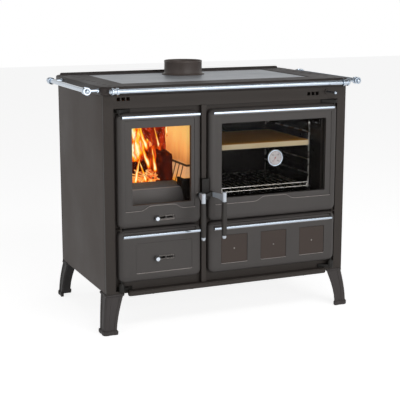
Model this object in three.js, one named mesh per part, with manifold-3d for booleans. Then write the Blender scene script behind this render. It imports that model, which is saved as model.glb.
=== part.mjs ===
// A wood-fired range cooker on four cast legs: firebox and ash pit on the left, oven and store on
// the right, a steel hob in a cast top, chrome rails on three sides and a flue spigot.
//
// Millimetres, +Z up, X to the right, Y to the back. Everything is drawn with z = 0 on the floor,
// x = 0 on the middle of the case and y = 0 on the front plane of the case; the group at the end
// moves the whole stove so that its origin is the middle of its footprint.

import * as THREE from "three";
import { mergeVertices } from "three/addons/utils/BufferGeometryUtils.js";
import Module from "manifold-3d";

const wasm = await Module();
wasm.setup();

// ---------------------------------------------------------------- driving dimensions

const clearance = 0.3; // between pieces that touch
const holeClearance = 0.4; // round a pin or a shaft, so that a many-sided pin can turn in its hole

// the front, from left to right and from the bottom up
const postWidth = 35;
const doorSideGap = 8; // between a post and a door's hinge edge
const leftDoorWidth = 304;
const rightDoorWidth = 510;
const doorMiddleGap = 30; // between the free edges of the two columns of doors
const sillHeight = 9;
const sillGap = 31; // from the sill to the lower doors
const lowerDoorHeight = 186;
const doorRowGap = 4;
const upperDoorHeight = 395;
const headGap = 15; // from the upper doors to the header
const headerHeight = 45;
const legHeight = 140;
const caseDepth = 534;

// the front frame and the sheet case
const frameThickness = 16;
const recessDepth = 12; // the doors hang in this recess, in front of the frame's web
const mullionWidth = 18;
const mullionProud = 6;
const cheekLap = 37; // the web's lap behind the hinge edge of the fire door and the ash door
const cheekFreeLap = 22;
const fireSillLap = 18; // the web's lap behind the fire door's lower edge
const fireHeadLap = 17;
const lintelLap = 11; // the web's lap behind the upper edge of the lower doors
const storeLap = 30;
const storeSillLap = 15;
const ventSize = 12;
const ventPitch = 17;
const leftVent = { inset: 71, drop: 13 }; // from the side and the top of the case
const rightVent = { inset: 136, drop: 23 };
const sheet = 3; // side panels, back and base
const flange = 14; // folded edges of the sheet panels
const airSlotLength = 60; // slots in the back panel
const airSlotHeight = 8;
const airSlotPitch = 110;
const airSlotInset = 60;

// doors
const doorProud = 20; // a door's face stands this far in front of the case
const doorThickness = 26;
const doorCorner = 22;
const cornerFollow = 0.8; // share of the rolled edge's inset that comes off the corner's radius
const pillowWidth = 22; // the rounded edge of the casting, seen from the front
const pillowDepth = 14;
const pillowSteps = 4;
const hingeInset = 10; // from the door's edge to the hinge axis
const hingeBack = 14; // from the hinge axis to the door's back face
const pinRadius = 4;
const pinDepth = 18;
const stripHeight = 9.5;
const stripProud = 4;
const stripSeat = 4; // the chrome strip's seat lies this far behind the door's face
const upperStripDrop = 13; // from the door's top edge to the middle of the strip
const lowerStripDrop = 23.5;
const stripHingeInset = 15;
const pullRadius = 6.5; // the finger groove along the top of the lower doors
const pullDrop = 12.5;
const pullBack = 3; // from the door's face to the groove's middle
const pullInset = 18;

// windows
const windowTopRail = 51;
const windowBottomRail = 80;
const windowCorner = 3;
const fireHingeStile = 51;
const fireFreeStile = 38;
const ovenHingeStile = 46;
const ovenFreeStile = 49;
const apronDepth = 3; // the sunk field round a window, which ends below in an ogee
const apronInset = 25; // from the door's edge
const apronDrop = 20; // from the window's sill down to the ogee's flat ends
const ogeeRise = 16;
const ogeeHalfTop = 36;
const ogeeShoulder = 47;
const paneThickness = 4;
const paneLap = 12;
const paneSeat = 17; // from the door's face back to the pane's seat

// air registers of the fire door and the ash door
const registerLength = 78;
const registerHeight = 16;
const registerDepth = 2.5;
const registerOffset = 13; // from the door's middle to the register's middle
const fireRegisterRise = 31; // from the door's bottom edge
const ashRegisterRise = 79;
const registerKnobInset = 9;
const registerTravel = 30;
const shankRadius = 4;
const airHoleCount = 3;
const airHoleRadius = 3.2;
const airHolePitch = 8;
const airHoleInset = 10;
const airKnobRadius = 8;
const airKnobReach = 19; // the knob's end in front of the door's face
const airKnobLength = 11;
const shutterThickness = 2;
const shutterLength = 42;
const shutterHeight = 14;

// the sunk panel of the ash door and the three inserts of the storage door
const panelHingeInset = 60;
const panelFreeInset = 36;
const panelBottomInset = 31;
const panelTopInset = 50;
const panelSink = 2;
const insertSize = 101;
const insertPitch = 157;
const insertRise = 85; // from the door's bottom edge to the middle of the inserts
const insertCount = 3;
const insertThickness = 2.5;
const insertSink = 1.5;
const insertGap = 0.8;

// handles and their latch
const latchInset = 10; // from a door's free edge to the handle's shaft
const latchRise = 100; // from the upper doors' bottom edge to the shaft
const shaftRadius = 6;
const bossRadius = 9.5;
const bossProud = 1.7;
const shaftDepth = 16; // from the door's face into the casting
const camThickness = 10;
const camRadius = 10;
const camNose = 5;
const camGap = 1; // between the noses of the two cams
const armLength = 60.7; // from the front of the cam to the middle of the grip
const armSide = 14; // the grip stands this far from the shaft, away from the mullion
const armHeight = 15;
const armThickness = 9;
const gussetStart = 42; // from the front of the cam
const gussetDrop = 8;
const holderHeight = 34;
const holderRadius = 8;
const gripRadius = 9.8;
const gripEndRadius = 8.8;
const gripLength = 118;
const spindleRadius = 4.5;
const capHeight = 11;
const capRound = 4.5;
const keeperWidth = 27;
const keeperRise = 55; // the keeper reaches this far above the shaft
const keeperDrop = 20;

// hinge lugs
const lugRadius = 11;
const lugTail = 44; // from the hinge axis to the thin end of an outer lug
const lugEnd = 4; // the thickness of that thin end
const lugGap = 1.5; // over and under an upper lug
const lugHeight = 12;
const lugShoulder = 7;

// plinth bar
const plinthHeight = 18;
const plinthDrop = 8; // below the underside of the case
const plinthProud = 20;
const plinthInset = 75; // from the sides of the case
const plinthCorner = 9;
const plinthScrews = 5;
const plinthScrewPitch = 149;
const plinthScrewRadius = 4;

// top frame: [inset, height] pairs of its moulded edge
const topEdge = [[6, 0], [3, 3], [3, 8], [0, 12], [0, 25], [2, 28], [6, 30]];
const topOverhang = 10;
const topCorner = 22;
const topWall = 14;
const topSkin = 8;
const topSlots = 8;
const topSlotPitch = 60;
const topSlotLength = 16;
const topSlotWidth = 7;
const topSlotFront = 28;
const topSlotSide = 45; // from the top's side to the middle of the slots
const upstandHeight = 7.5;
const upstandDepth = 11;
const upstandInset = 8; // from the top's back edge
const upstandEnd = 18; // from the top's side to the upstand's rounded end

// hob and flue
const hobWidth = 726;
const hobDepth = 395;
const hobFront = 95; // from the front plane to the hob
const hobThickness = 6;
const hobSink = 2; // the hob lies this far below the top's surface
const hobLap = 14; // the rebate that the hob rests on
const hobRim = 10; // the wall of the casting under the rebate
const flueX = -10;
const flueInset = 129; // from the back of the case to the middle of the flue
const flueY = caseDepth - flueInset;
const flueRadius = 71.5;
const flueWall = 4.5;
const flueFlange = 10;
const flueFlangeThickness = 6;
const flueHeight = 53; // from the hob's surface

// rails
const railRadius = 8;
const railBevel = 2;
const railDrop = 13; // from the top's surface to the rail's middle
const frontRailGap = 32; // from the top's edge to the rail's middle
const sideRailGap = 43;
const frontRailInset = 18; // a front rail ends this far inside the top's sides
const sideRailStart = -6;
const sideRailEnd = 480;
const frontBracketInset = 20; // from the front rail's end to the middle of its bracket
const sideBrackets = { front: 14, rear: 441 };
const bracketLength = 24;
const bracketRadius = 13;
const bracketRing = 6;
const bracketWaist = 10.5;
const stubRadius = 5;
const rosetteRadius = 8;
const rosetteThickness = 4;

// legs
const legTopWidth = 62;
const legTaper = 32;
const legFlare = 16;
const legWall = 7;
const legCorner = 9;
const legRib = 9;
const legGroove = 1.6;
const legSteps = 5;
const footLip = 4;
const footLipHeight = 14;
const capLip = 3;
const capLipHeight = 6;

// firebox
const shellInset = 11; // the shell's wall, inside the fire door's hinge edge
const shellFreeLap = 6; // and past its free edge
const shellWall = 4;
const shellDepth = 424;
const shellTopGap = 65; // from the shell's rim to the top of the case
const ashFloor = 50; // above the underside of the case
const hearthRise = 280;
const hearthThickness = 6;
const brickThickness = 25;
const brickHeight = 300;
const brickFront = 60;
const courseRise = 89; // from the bricks' foot to the low course of narrow bricks
const courseHeight = 43;
const sideJoints = 9;
const backJoints = 9;
const jointPitch = 34;
const jointWidth = 2.5;
const jointDepth = 3;
const grateWidth = 160;
const grateDepth = 220;
const grateThickness = 9;
const grateLap = 12;
const grateSlots = 7;
const grateSlotWidth = 8;
const grateSlotPitch = 20;
const grateFront = 160;
const retainerFront = 75;
const retainerHeight = 60;
const retainerDepth = 80;
const retainerWall = 8;
const panFront = 34;
const panDepth = 330;
const panHeight = 80;
const panWall = 2;
const panSideGap = 10; // between the pan and the ash opening's sides
const panLip = 8;

// oven
const ovenWidth = 424;
const ovenCentre = 162;
const ovenFloor = 252;
const ovenHeight = 354;
const ovenDepth = 420;
const ovenWall = 2;
const ovenFlange = 16;
const wireRadius = 2.5;
const wireWeld = 1; // crossing wires sink this far into each other
const runnerInset = 31; // from the oven's wall to the runner's uprights
const runnerFront = 50;
const runnerBack = 400;
const runnerLevels = 5;
const runnerPitch = 51.7;
const runnerFirst = 60; // from the oven's floor to the lowest rung
const runnerMargin = 35; // the frame's wires reach this far past the outer rungs
const rackLevel = 0;
const stoneLevel = 3;
const rackFront = 45;
const rackDepth = 345;
const rackWires = 13;
const rackWireRadius = 2;
const rackGuardRise = 14;
const stoneFront = 40;
const stoneDepth = 322;
const stoneThickness = 19;
const stoneCorner = 8;

const thermometerRadius = 30;
const thermometerDepth = 8;
const thermometerStem = 4;
const thermometerReach = 24; // the stem's end behind the pane
const thermometerRise = 209; // from the oven door's bottom edge
const thermometerOffset = 6; // to the right of the window's middle
const bezelWidth = 4;
const dialSink = 2;
const needleWidth = 2;

// damper
const damperInset = 79; // from the right side of the case
const damperDrop = 17; // from the top of the case
const damperRodRadius = 3;
const damperKnobRadius = 5.5;
const damperReach = 60;
const damperRodDepth = 270;
const damperPlateWidth = 60;
const damperPlateDepth = 90;
const damperPlateThickness = 4;
const escutcheonRadius = 10;
const escutcheonThickness = 3;

// ---------------------------------------------------------------- places worked out from these

const caseWidth = 2 * (postWidth + doorSideGap) + leftDoorWidth + doorMiddleGap + rightDoorWidth;
const caseLeft = -caseWidth / 2;
const caseRight = caseWidth / 2;
const caseBottom = legHeight;
const recessBottom = caseBottom + sillHeight;
const lowerRow = span(recessBottom + sillGap, lowerDoorHeight);
const upperRow = span(lowerRow[1] + doorRowGap, upperDoorHeight);
const recessTop = upperRow[1] + headGap;
const caseTop = recessTop + headerHeight;
const leftColumn = span(caseLeft + postWidth + doorSideGap, leftDoorWidth);
const rightColumn = span(leftColumn[1] + doorMiddleGap, rightDoorWidth);
const mullionX = (leftColumn[1] + rightColumn[0]) / 2;

const doorFace = -doorProud;
const doorBack = doorFace + doorThickness;
const hingeY = doorBack - hingeBack;
const webFront = recessDepth;
const behindFrame = frameThickness + clearance;

const topHeight = topEdge.at(-1)[1];
const topSurface = caseTop + topHeight;
const topLeft = caseLeft - topOverhang;
const topRight = caseRight + topOverhang;
const topFront = -topOverhang;
const topBack = caseDepth + topOverhang;
const hobSurface = topSurface - hobSink;
const railZ = topSurface - railDrop;
const frontRailY = topFront - frontRailGap;

const shell = [leftColumn[0] + shellInset, leftColumn[1] + shellFreeLap];
const shellBack = behindFrame + shellDepth;
const hearth = caseBottom + hearthRise + hearthThickness;
const ashTop = caseBottom + ashFloor + shellWall;
const plinthTop = caseBottom - plinthDrop + plinthHeight;
const oven = span(ovenCentre - ovenWidth / 2, ovenWidth);
const ovenRows = span(caseBottom + ovenFloor, ovenHeight);
const ovenBack = behindFrame + ovenDepth;

// A length that starts at a place, as its two ends.
function span(start, length) {
  return [start, start + length];
}

// A door: its column and row, its hinge's side (-1 left, 1 right) and its strip's free-end inset.
function door([x0, x1], [z0, z1], side, stripFreeInset, stripDrop) {
  const [hingeEdge, freeEdge] = side < 0 ? [x0, x1] : [x1, x0];
  const hingeX = hingeEdge - side * hingeInset;
  return { x0, x1, z0, z1, side, hingeEdge, freeEdge, hingeX, stripFreeInset, stripDrop };
}
const fireDoor = door(leftColumn, upperRow, -1, 5, upperStripDrop);
const ashDoor = door(leftColumn, lowerRow, -1, 5, lowerStripDrop);
const ovenDoor = door(rightColumn, upperRow, 1, 16, upperStripDrop);
const storageDoor = door(rightColumn, lowerRow, 1, 20, lowerStripDrop);
const latchZ = upperRow[0] + latchRise;

// ---------------------------------------------------------------- making solids

const X = new THREE.Vector3(1, 0, 0);
const Y = new THREE.Vector3(0, 1, 0);
const Z = new THREE.Vector3(0, 0, 1);

// A closed geometry as a solid, whichever way its faces point.
function solid(geometry) {
  const bare = new THREE.BufferGeometry();
  bare.setAttribute("position", geometry.attributes.position);
  if (geometry.index) bare.setIndex(geometry.index);
  const merged = mergeVertices(bare, 1e-4);
  const points = merged.attributes.position;
  const corners = [new THREE.Vector3(), new THREE.Vector3(), new THREE.Vector3()];
  const faces = [];
  let volume = 0;
  for (let i = 0; i < merged.index.count; i += 3) {
    const face = [0, 1, 2].map((k) => merged.index.getX(i + k));
    if (new Set(face).size < 3) continue;
    face.forEach((vertex, k) => corners[k].fromBufferAttribute(points, vertex));
    volume += corners[0].dot(corners[1].cross(corners[2]));
    faces.push(face);
  }
  if (volume < 0) faces.forEach((face) => face.reverse());
  const triVerts = new Uint32Array(faces.flat());
  const vertProperties = new Float32Array(points.array);
  return new wasm.Manifold(new wasm.Mesh({ numProp: 3, vertProperties, triVerts }));
}

function join(first, ...others) {
  return others.reduce((whole, other) => whole.add(other), first);
}

function cut(first, ...others) {
  return others.reduce((whole, other) => whole.subtract(other), first);
}

function box([x0, x1], [y0, y1], [z0, z1]) {
  const g = new THREE.BoxGeometry(x1 - x0, y1 - y0, z1 - z0);
  return solid(g.translate((x0 + x1) / 2, (y0 + y1) / 2, (z0 + z1) / 2));
}

// A shape is drawn in two of the axes and stands along the third, between two values.
const inXY = new THREE.Matrix4().makeBasis(X, Y, Z);
const inXZ = new THREE.Matrix4().makeBasis(X, Z, Y);
const inYZ = new THREE.Matrix4().makeBasis(Y, Z, X);

function prism(shape, plane, [from, to], curveSegments = 6) {
  const settings = { depth: to - from, bevelEnabled: false, curveSegments };
  const g = new THREE.ExtrudeGeometry(shape, settings);
  return solid(g.translate(0, 0, from).applyMatrix4(plane));
}

function polygon(points) {
  return new THREE.Shape(points.map(([a, b]) => new THREE.Vector2(a, b)));
}

function roundedRect([a0, a1], [b0, b1], r) {
  const shape = new THREE.Shape();
  shape.absarc(a1 - r, b0 + r, r, -Math.PI / 2, 0);
  shape.absarc(a1 - r, b1 - r, r, 0, Math.PI / 2);
  shape.absarc(a0 + r, b1 - r, r, Math.PI / 2, Math.PI);
  shape.absarc(a0 + r, b0 + r, r, Math.PI, 1.5 * Math.PI);
  return shape;
}

// A slot with round ends, along a.
function stadium([a0, a1], b, r) {
  const shape = new THREE.Shape();
  shape.absarc(a1 - r, b, r, -Math.PI / 2, Math.PI / 2);
  shape.absarc(a0 + r, b, r, Math.PI / 2, 1.5 * Math.PI);
  return shape;
}

function middle(centre, size) {
  return [centre - size / 2, centre + size / 2];
}

// A round bar between two points.
function rod(from, to, radius, sides = 10) {
  const a = new THREE.Vector3(...from);
  const b = new THREE.Vector3(...to);
  const axis = b.clone().sub(a);
  const g = new THREE.CylinderGeometry(radius, radius, axis.length(), sides);
  const turn = new THREE.Quaternion().setFromUnitVectors(Y, axis.normalize());
  return solid(g.applyQuaternion(turn).translate(...a.add(b).multiplyScalar(0.5)));
}

// A turned piece: [radius, distance] pairs about a line that starts at a point.
function turned(profile, at, axis, sides = 12) {
  const points = profile.map(([r, along]) => new THREE.Vector2(r, along));
  const turn = new THREE.Quaternion().setFromUnitVectors(Y, axis);
  const g = new THREE.LatheGeometry(points, sides);
  return solid(g.applyQuaternion(turn).translate(...at));
}

// A skin over a stack of rings, all with as many [a, b] points, closed by a flat cap at each end.
function loft(rings, toWorld) {
  const n = rings[0].points.length;
  const positions = rings.flatMap((ring) => ring.points.flatMap(([a, b]) => toWorld(a, b, ring.at)));
  const index = [];
  for (let ring = 0; ring < rings.length - 1; ring++)
    for (let i = 0; i < n; i++) {
      const a = ring * n + i;
      const b = ring * n + ((i + 1) % n);
      index.push(a, b, b + n, a, b + n, a + n);
    }
  const outline = ({ points }) => points.map(([a, b]) => new THREE.Vector2(a, b));
  const last = (rings.length - 1) * n;
  for (const face of THREE.ShapeUtils.triangulateShape(outline(rings[0]), []))
    index.push(...face.reverse());
  for (const face of THREE.ShapeUtils.triangulateShape(outline(rings.at(-1)), []))
    index.push(...face.map((i) => i + last));
  const g = new THREE.BufferGeometry();
  g.setAttribute("position", new THREE.Float32BufferAttribute(positions, 3));
  g.setIndex(index);
  return solid(g);
}

// The points of a rectangle with rounded corners, anticlockwise.
function roundedRing([a0, a1], [b0, b1], r, inset = 0, steps = 4) {
  const points = [];
  const left = a0 + inset + r;
  const right = a1 - inset - r;
  const low = b0 + inset + r;
  const high = b1 - inset - r;
  [[right, low], [right, high], [left, high], [left, low]].forEach(([a, b], quarter) => {
    for (let i = 0; i <= steps; i++) {
      const angle = ((quarter - 1 + i / steps) * Math.PI) / 2;
      points.push([a + r * Math.cos(angle), b + r * Math.sin(angle)]);
    }
  });
  return points;
}

// The outline round two circles, the second at a distance along a direction (in radians).
function teardrop([a, b], r0, length, r1, direction) {
  const lean = Math.acos((r0 - r1) / length);
  const shape = new THREE.Shape();
  const farA = a + length * Math.cos(direction);
  const farB = b + length * Math.sin(direction);
  shape.absarc(a, b, r0, direction + lean, direction + 2 * Math.PI - lean);
  shape.absarc(farA, farB, r1, direction - lean, direction + lean);
  return shape;
}

// ---------------------------------------------------------------- materials and scene graph

function paint(color, roughness, metalness) {
  return new THREE.MeshStandardMaterial({ color, roughness, metalness });
}
const materials = {
  caseEnamel: paint(0x4f4641, 0.6, 0.1),
  frameEnamel: paint(0x3e3a35, 0.6, 0.2),
  doorIron: paint(0x4e4b49, 0.55, 0.3),
  topIron: paint(0x4d4442, 0.6, 0.3),
  hobSteel: paint(0x8f9499, 0.4, 0.8),
  chrome: paint(0xdfe6ee, 0.12, 1),
  blackSteel: paint(0x17150f, 0.5, 0.5),
  gripBlack: paint(0x22221f, 0.4, 0),
  glass: paint(0x201a16, 0.05, 0),
  firebrick: paint(0xd2ab78, 0.9, 0),
  castIron: paint(0x35322f, 0.75, 0.4),
  ovenSteel: paint(0x2b2623, 0.4, 0.6),
  stone: paint(0xdcc69a, 0.8, 0),
  dial: paint(0xd8d4cf, 0.4, 0.3),
};
materials.glass.transparent = true;
materials.glass.opacity = 0.3;

const stove = new THREE.Group();
stove.name = "wood_cookstove";

function group(name) {
  const g = new THREE.Group();
  g.name = name;
  stove.add(g);
  return g;
}

function piece(parent, name, shape, material) {
  const { vertProperties, triVerts } = shape.getMesh();
  const g = new THREE.BufferGeometry();
  g.setAttribute("position", new THREE.BufferAttribute(new Float32Array(vertProperties), 3));
  g.setIndex(new THREE.BufferAttribute(new Uint32Array(triVerts), 1));
  g.computeVertexNormals();
  const mesh = new THREE.Mesh(g, material);
  mesh.name = name;
  parent.add(mesh);
}

// ---------------------------------------------------------------- legs

// A cast corner leg: an angle section that narrows and sweeps outwards on its way down. Each face
// has a sunk field between two ribs, and there is a rolled lip at the foot and one under the case.
function legSolid(sideX, sideY) {
  const cornerX = sideX < 0 ? caseLeft : caseRight;
  const cornerY = sideY < 0 ? 0 : caseDepth;

  // One face's outline from the corner to its free edge, as [along, inwards] pairs.
  const face = (edge, lip) => [
    [legCorner, -lip],
    [legCorner + legRib, -lip],
    [legCorner + legRib + legGroove, legGroove - lip],
    [edge - legRib - legGroove, legGroove - lip],
    [edge - legRib, -lip],
    [edge + lip, -lip],
  ];
  const section = (depth, lip) => {
    const sweep = Math.sin(((depth / legHeight) * Math.PI) / 2);
    const out = legFlare * sweep;
    const edge = legTopWidth - legTaper * sweep + out;
    const bend = legCorner * (1 - Math.SQRT1_2) - lip * Math.SQRT1_2;
    const outer = face(edge, lip);
    const inner = [[edge + lip, legWall], [legWall, legWall], [legWall, edge + lip]];
    const mirrored = outer.map(([a, b]) => [b, a]).reverse();
    return [[bend, bend], ...outer, ...inner, ...mirrored].map(([a, b]) => [a - out, b - out]);
  };

  const top = legHeight - clearance;
  const neck = top - capLipHeight - capLip;
  const ankle = footLipHeight + footLip;
  const levels = [[top, capLip], [top - capLipHeight, capLip], [neck, 0]];
  for (let i = 1; i <= legSteps; i++) levels.push([neck + ((ankle - neck) * i) / legSteps, 0]);
  levels.push([footLipHeight, footLip], [footLip, footLip], [0, footLip / 2]);
  const toWorld = (a, b, z) => [cornerX - sideX * a, cornerY - sideY * b, z];
  const rings = levels.map(([at, lip]) => ({ at, points: section(legHeight - at, lip) }));
  const web = [[0, 0], [legTopWidth, 0], [legTopWidth, legWall], [legWall, legTopWidth], [0, legTopWidth]];
  const plate = loft([top - legWall, top].map((at) => ({ at, points: web })), toWorld);
  return join(loft(rings, toWorld), plate);
}

const legs = group("legs");
piece(legs, "leg_front_left", legSolid(-1, -1), materials.castIron);
piece(legs, "leg_front_right", legSolid(1, -1), materials.castIron);
piece(legs, "leg_rear_left", legSolid(-1, 1), materials.castIron);
piece(legs, "leg_rear_right", legSolid(1, 1), materials.castIron);

// ---------------------------------------------------------------- hinges

// A hinge lug seen from above: a round nose about the axis and a tail that thins along the web.
function lugPlan(d, tail, back) {
  const outer = d.hingeX + d.side * lugRadius;
  const inner = d.hingeX - d.side * tail;
  const shape = new THREE.Shape();
  shape.moveTo(outer, back);
  shape.lineTo(outer, hingeY);
  if (d.side < 0) shape.absarc(d.hingeX, hingeY, lugRadius, Math.PI, 1.5 * Math.PI);
  else shape.absarc(d.hingeX, hingeY, lugRadius, 0, -Math.PI / 2, true);
  shape.lineTo(inner, back - lugEnd);
  shape.lineTo(inner, back);
  return shape;
}

function pin(d, z0, z1) {
  return rod([d.hingeX, hingeY, z0], [d.hingeX, hingeY, z1], pinRadius);
}

// The thin lug between the doors of a column carries the upper door and pins both.
function middleLug(d) {
  const plate = [lowerRow[1] + clearance, upperRow[0] - clearance];
  const lug = prism(lugPlan(d, lugRadius, webFront + lugEnd / 2), inXY, plate, 4);
  return join(lug, pin(d, plate[0] - pinDepth, plate[1] + pinDepth));
}

function upperLug(d) {
  const rows = span(upperRow[1] + lugGap, lugHeight);
  const lug = prism(lugPlan(d, lugTail, webFront - clearance), inXY, rows, 4);
  return join(lug, pin(d, upperRow[1] - pinDepth, rows[1]));
}

// The lower lug stands on the sill, and its boss and shoulder carry the lower door.
function lowerLug(d) {
  const foot = recessBottom + clearance;
  const seat = lowerRow[0] - clearance;
  const shoulderStart = seat - lugShoulder;
  const lug = prism(lugPlan(d, lugTail, webFront - clearance), inXY, span(foot, lugHeight), 4);
  const rise = seat - foot;
  const shoulder = [[lugRadius, shoulderStart - foot], [lugShoulder, rise]];
  const profile = [[0, 0], [lugRadius, 0], ...shoulder, [0, rise]];
  return join(lug, turned(profile, [d.hingeX, hingeY, foot], Z), pin(d, foot, seat + pinDepth));
}

// ---------------------------------------------------------------- case

const carcass = group("case");

// What the frame's web leaves open behind the doors, as [columns, rows].
const fireColumns = [leftColumn[0] + cheekLap, leftColumn[1] - cheekFreeLap];
const webOpenings = {
  fire: [fireColumns, [upperRow[0] + fireSillLap, upperRow[1] - fireHeadLap]],
  ash: [fireColumns, [ashTop, lowerRow[1] - lintelLap]],
  oven: [oven, ovenRows],
  store: [
    [rightColumn[0] + storeLap, rightColumn[1] - storeLap],
    [lowerRow[0] + storeSillLap, lowerRow[1] - lintelLap],
  ],
};
const damper = { x: caseRight - damperInset, z: caseTop - damperDrop };

function vents(centreX, centreZ, through) {
  return [-1, 0, 1].map((i) =>
    box(middle(centreX + i * ventPitch, ventSize), through, middle(centreZ, ventSize)),
  );
}

function frontFrame() {
  const through = [-escutcheonThickness - 1, frameThickness + 1];
  const recessColumns = [caseLeft + postWidth, caseRight - postWidth];
  const recessRows = [recessBottom, recessTop];
  const plate = box([caseLeft, caseRight], [0, frameThickness], [caseBottom, caseTop - clearance]);
  const recess = box(recessColumns, [-1, webFront], recessRows);
  const ribRows = [plinthTop + clearance, recessTop + 1];
  const rib = box(middle(mullionX, mullionWidth), [-mullionProud, webFront + 1], ribRows);
  const onAxis = (from, to, radius, sides) => {
    const ends = [from, to].map((y) => [damper.x, y, damper.z]);
    return rod(...ends, radius, sides);
  };
  const disc = onAxis(-escutcheonThickness, 1, escutcheonRadius, 20);
  return cut(
    join(cut(plate, recess), rib, disc, middleLug(fireDoor), middleLug(ovenDoor)),
    ...Object.values(webOpenings).map(([columns, rows]) => box(columns, through, rows)),
    ...vents(caseLeft + leftVent.inset, caseTop - leftVent.drop, through),
    ...vents(caseRight - rightVent.inset, caseTop - rightVent.drop, through),
    onAxis(...through, damperRodRadius + holeClearance),
  );
}
piece(carcass, "front_frame", frontFrame(), materials.frameEnamel);

// A side panel, folded inwards along its front edge.
function sidePanel(side) {
  const back = caseDepth;
  const bends = [
    [0, behindFrame],
    [flange, behindFrame],
    [flange, behindFrame + sheet],
    [sheet, behindFrame + sheet],
    [sheet, back - sheet],
    [0, back - sheet],
  ];
  const plan = polygon(bends.map(([inwards, y]) => [side * (caseRight - inwards), y]));
  return prism(plan, inXY, [caseBottom, caseTop - clearance]);
}
piece(carcass, "side_panel_left", sidePanel(-1), materials.caseEnamel);
piece(carcass, "side_panel_right", sidePanel(1), materials.caseEnamel);

// The base is a shallow tray between the side panels, with its front and back edges turned up.
function basePlate() {
  const halfWidth = caseRight - sheet - clearance;
  const front = behindFrame + sheet + clearance;
  const back = caseDepth - sheet - clearance;
  const rim = caseBottom + flange;
  const floor = caseBottom + sheet;
  const section = [
    [front, caseBottom],
    [back, caseBottom],
    [back, rim],
    [back - sheet, rim],
    [back - sheet, floor],
    [front + sheet, floor],
    [front + sheet, rim],
    [front, rim],
  ];
  return prism(polygon(section), inYZ, [-halfWidth, halfWidth]);
}
piece(carcass, "base_plate", basePlate(), materials.frameEnamel);

// Flat sheet with a row of air slots near its foot and another near its head.
function backPanel() {
  const depth = [caseDepth - sheet + clearance, caseDepth];
  const panel = box([caseLeft, caseRight], depth, [caseBottom, caseTop - clearance]);
  const through = [depth[0] - 1, depth[1] + 1];
  const slots = [];
  for (const z of [caseBottom + airSlotInset, caseTop - airSlotInset])
    for (let i = -3; i <= 3; i++) {
      const slot = stadium(middle(i * airSlotPitch, airSlotLength), z, airSlotHeight / 2);
      slots.push(prism(slot, inXZ, through, 2));
    }
  return cut(panel, ...slots);
}
piece(carcass, "back_panel", backPanel(), materials.caseEnamel);

// The plinth bar in front of the sill, with the heads of its screws beneath.
function plinthBar() {
  const columns = [caseLeft + plinthInset, caseRight - plinthInset];
  const depth = [-plinthProud, -clearance];
  const foot = caseBottom - plinthDrop;
  const edge = [[3, 0], [0, 4], [0, plinthHeight - 5], [4, plinthHeight]];
  const rings = edge.map(([inset, rise]) => ({
    at: foot + rise,
    points: roundedRing(columns, depth, plinthCorner - inset, inset, 3),
  }));
  const bar = loft(rings, (a, b, z) => [a, b, z]);
  const wide = plinthScrewRadius;
  const head = [[0, -2], [wide - 1, -2], [wide, -1], [wide, 2], [0, 2]];
  const screws = [];
  for (let i = 0; i < plinthScrews; i++) {
    const x = (i - (plinthScrews - 1) / 2) * plinthScrewPitch;
    screws.push(turned(head, [x, (depth[0] + depth[1]) / 2, foot], Z, 8));
  }
  return join(bar, ...screws);
}
piece(carcass, "base_moulding", plinthBar(), materials.frameEnamel);

const lugs = group("hinge_lugs");
piece(lugs, "hinge_lug_fire_top", upperLug(fireDoor), materials.blackSteel);
piece(lugs, "hinge_lug_oven_top", upperLug(ovenDoor), materials.blackSteel);
piece(lugs, "hinge_lug_ash_bottom", lowerLug(ashDoor), materials.blackSteel);
piece(lugs, "hinge_lug_storage_bottom", lowerLug(storageDoor), materials.blackSteel);

// ---------------------------------------------------------------- top, hob and flue

const top = group("top");
const hobColumns = middle(0, hobWidth);
const hobRows = span(hobFront, hobDepth);

function widen([from, to], by) {
  return [from - by, to + by];
}

// The cast top is hollow beneath: an outer wall with a moulded edge, an inner wall under the hob's
// rebate and a skin between them, with cooling slots along both flanks and an upstand at the back.
function topFrame() {
  const columns = [topLeft, topRight];
  const rows = [topFront, topBack];
  const rings = topEdge.map(([inset, rise]) => ({
    at: caseTop + rise,
    points: roundedRing(columns, rows, topCorner - inset, inset),
  }));
  const block = loft(rings, (a, b, z) => [a, b, z]);
  const upstandColumns = widen(columns, -upstandEnd);
  const upstandRows = [topSurface - upstandHeight, topSurface + upstandHeight];
  const upstandDepths = span(topBack - upstandInset - upstandDepth, upstandDepth);
  const upstandOutline = roundedRect(upstandColumns, upstandRows, upstandHeight - 1);
  const upstand = prism(upstandOutline, inXZ, upstandDepths, 3);

  const opening = box(widen(hobColumns, -hobLap), widen(hobRows, -hobLap), [caseTop - 1, topSurface + 1]);
  const rebateFloor = hobSurface - hobThickness - clearance;
  const rebateRows = [rebateFloor, topSurface + 1];
  const rebate = box(widen(hobColumns, clearance), widen(hobRows, clearance), rebateRows);
  const underside = [caseTop - 1, topSurface - topSkin];
  const hollow = box(widen(columns, -topWall), widen(rows, -topWall), underside);
  const rim = box(widen(hobColumns, hobRim), widen(hobRows, hobRim), widen(underside, 1));
  const slots = [];
  for (let i = 0; i < topSlots; i++)
    for (const x of [topLeft + topSlotSide, topRight - topSlotSide]) {
      const y = topSlotFront + i * topSlotPitch;
      const slot = stadium(middle(x, topSlotLength), y, topSlotWidth / 2);
      slots.push(prism(slot, inXY, [underside[1] - 1, topSurface + 1], 2));
    }
  return cut(join(block, upstand), opening, rebate, cut(hollow, rim), ...slots);
}
piece(top, "top_frame", topFrame(), materials.topIron);

function hobPlate() {
  const plate = box(hobColumns, hobRows, [hobSurface - hobThickness, hobSurface]);
  const bore = [[flueX, flueY, hobSurface - hobThickness - 1], [flueX, flueY, hobSurface + 1]];
  return cut(plate, rod(...bore, flueRadius - flueWall, 28));
}
piece(top, "hob_plate", hobPlate(), materials.hobSteel);

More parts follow.
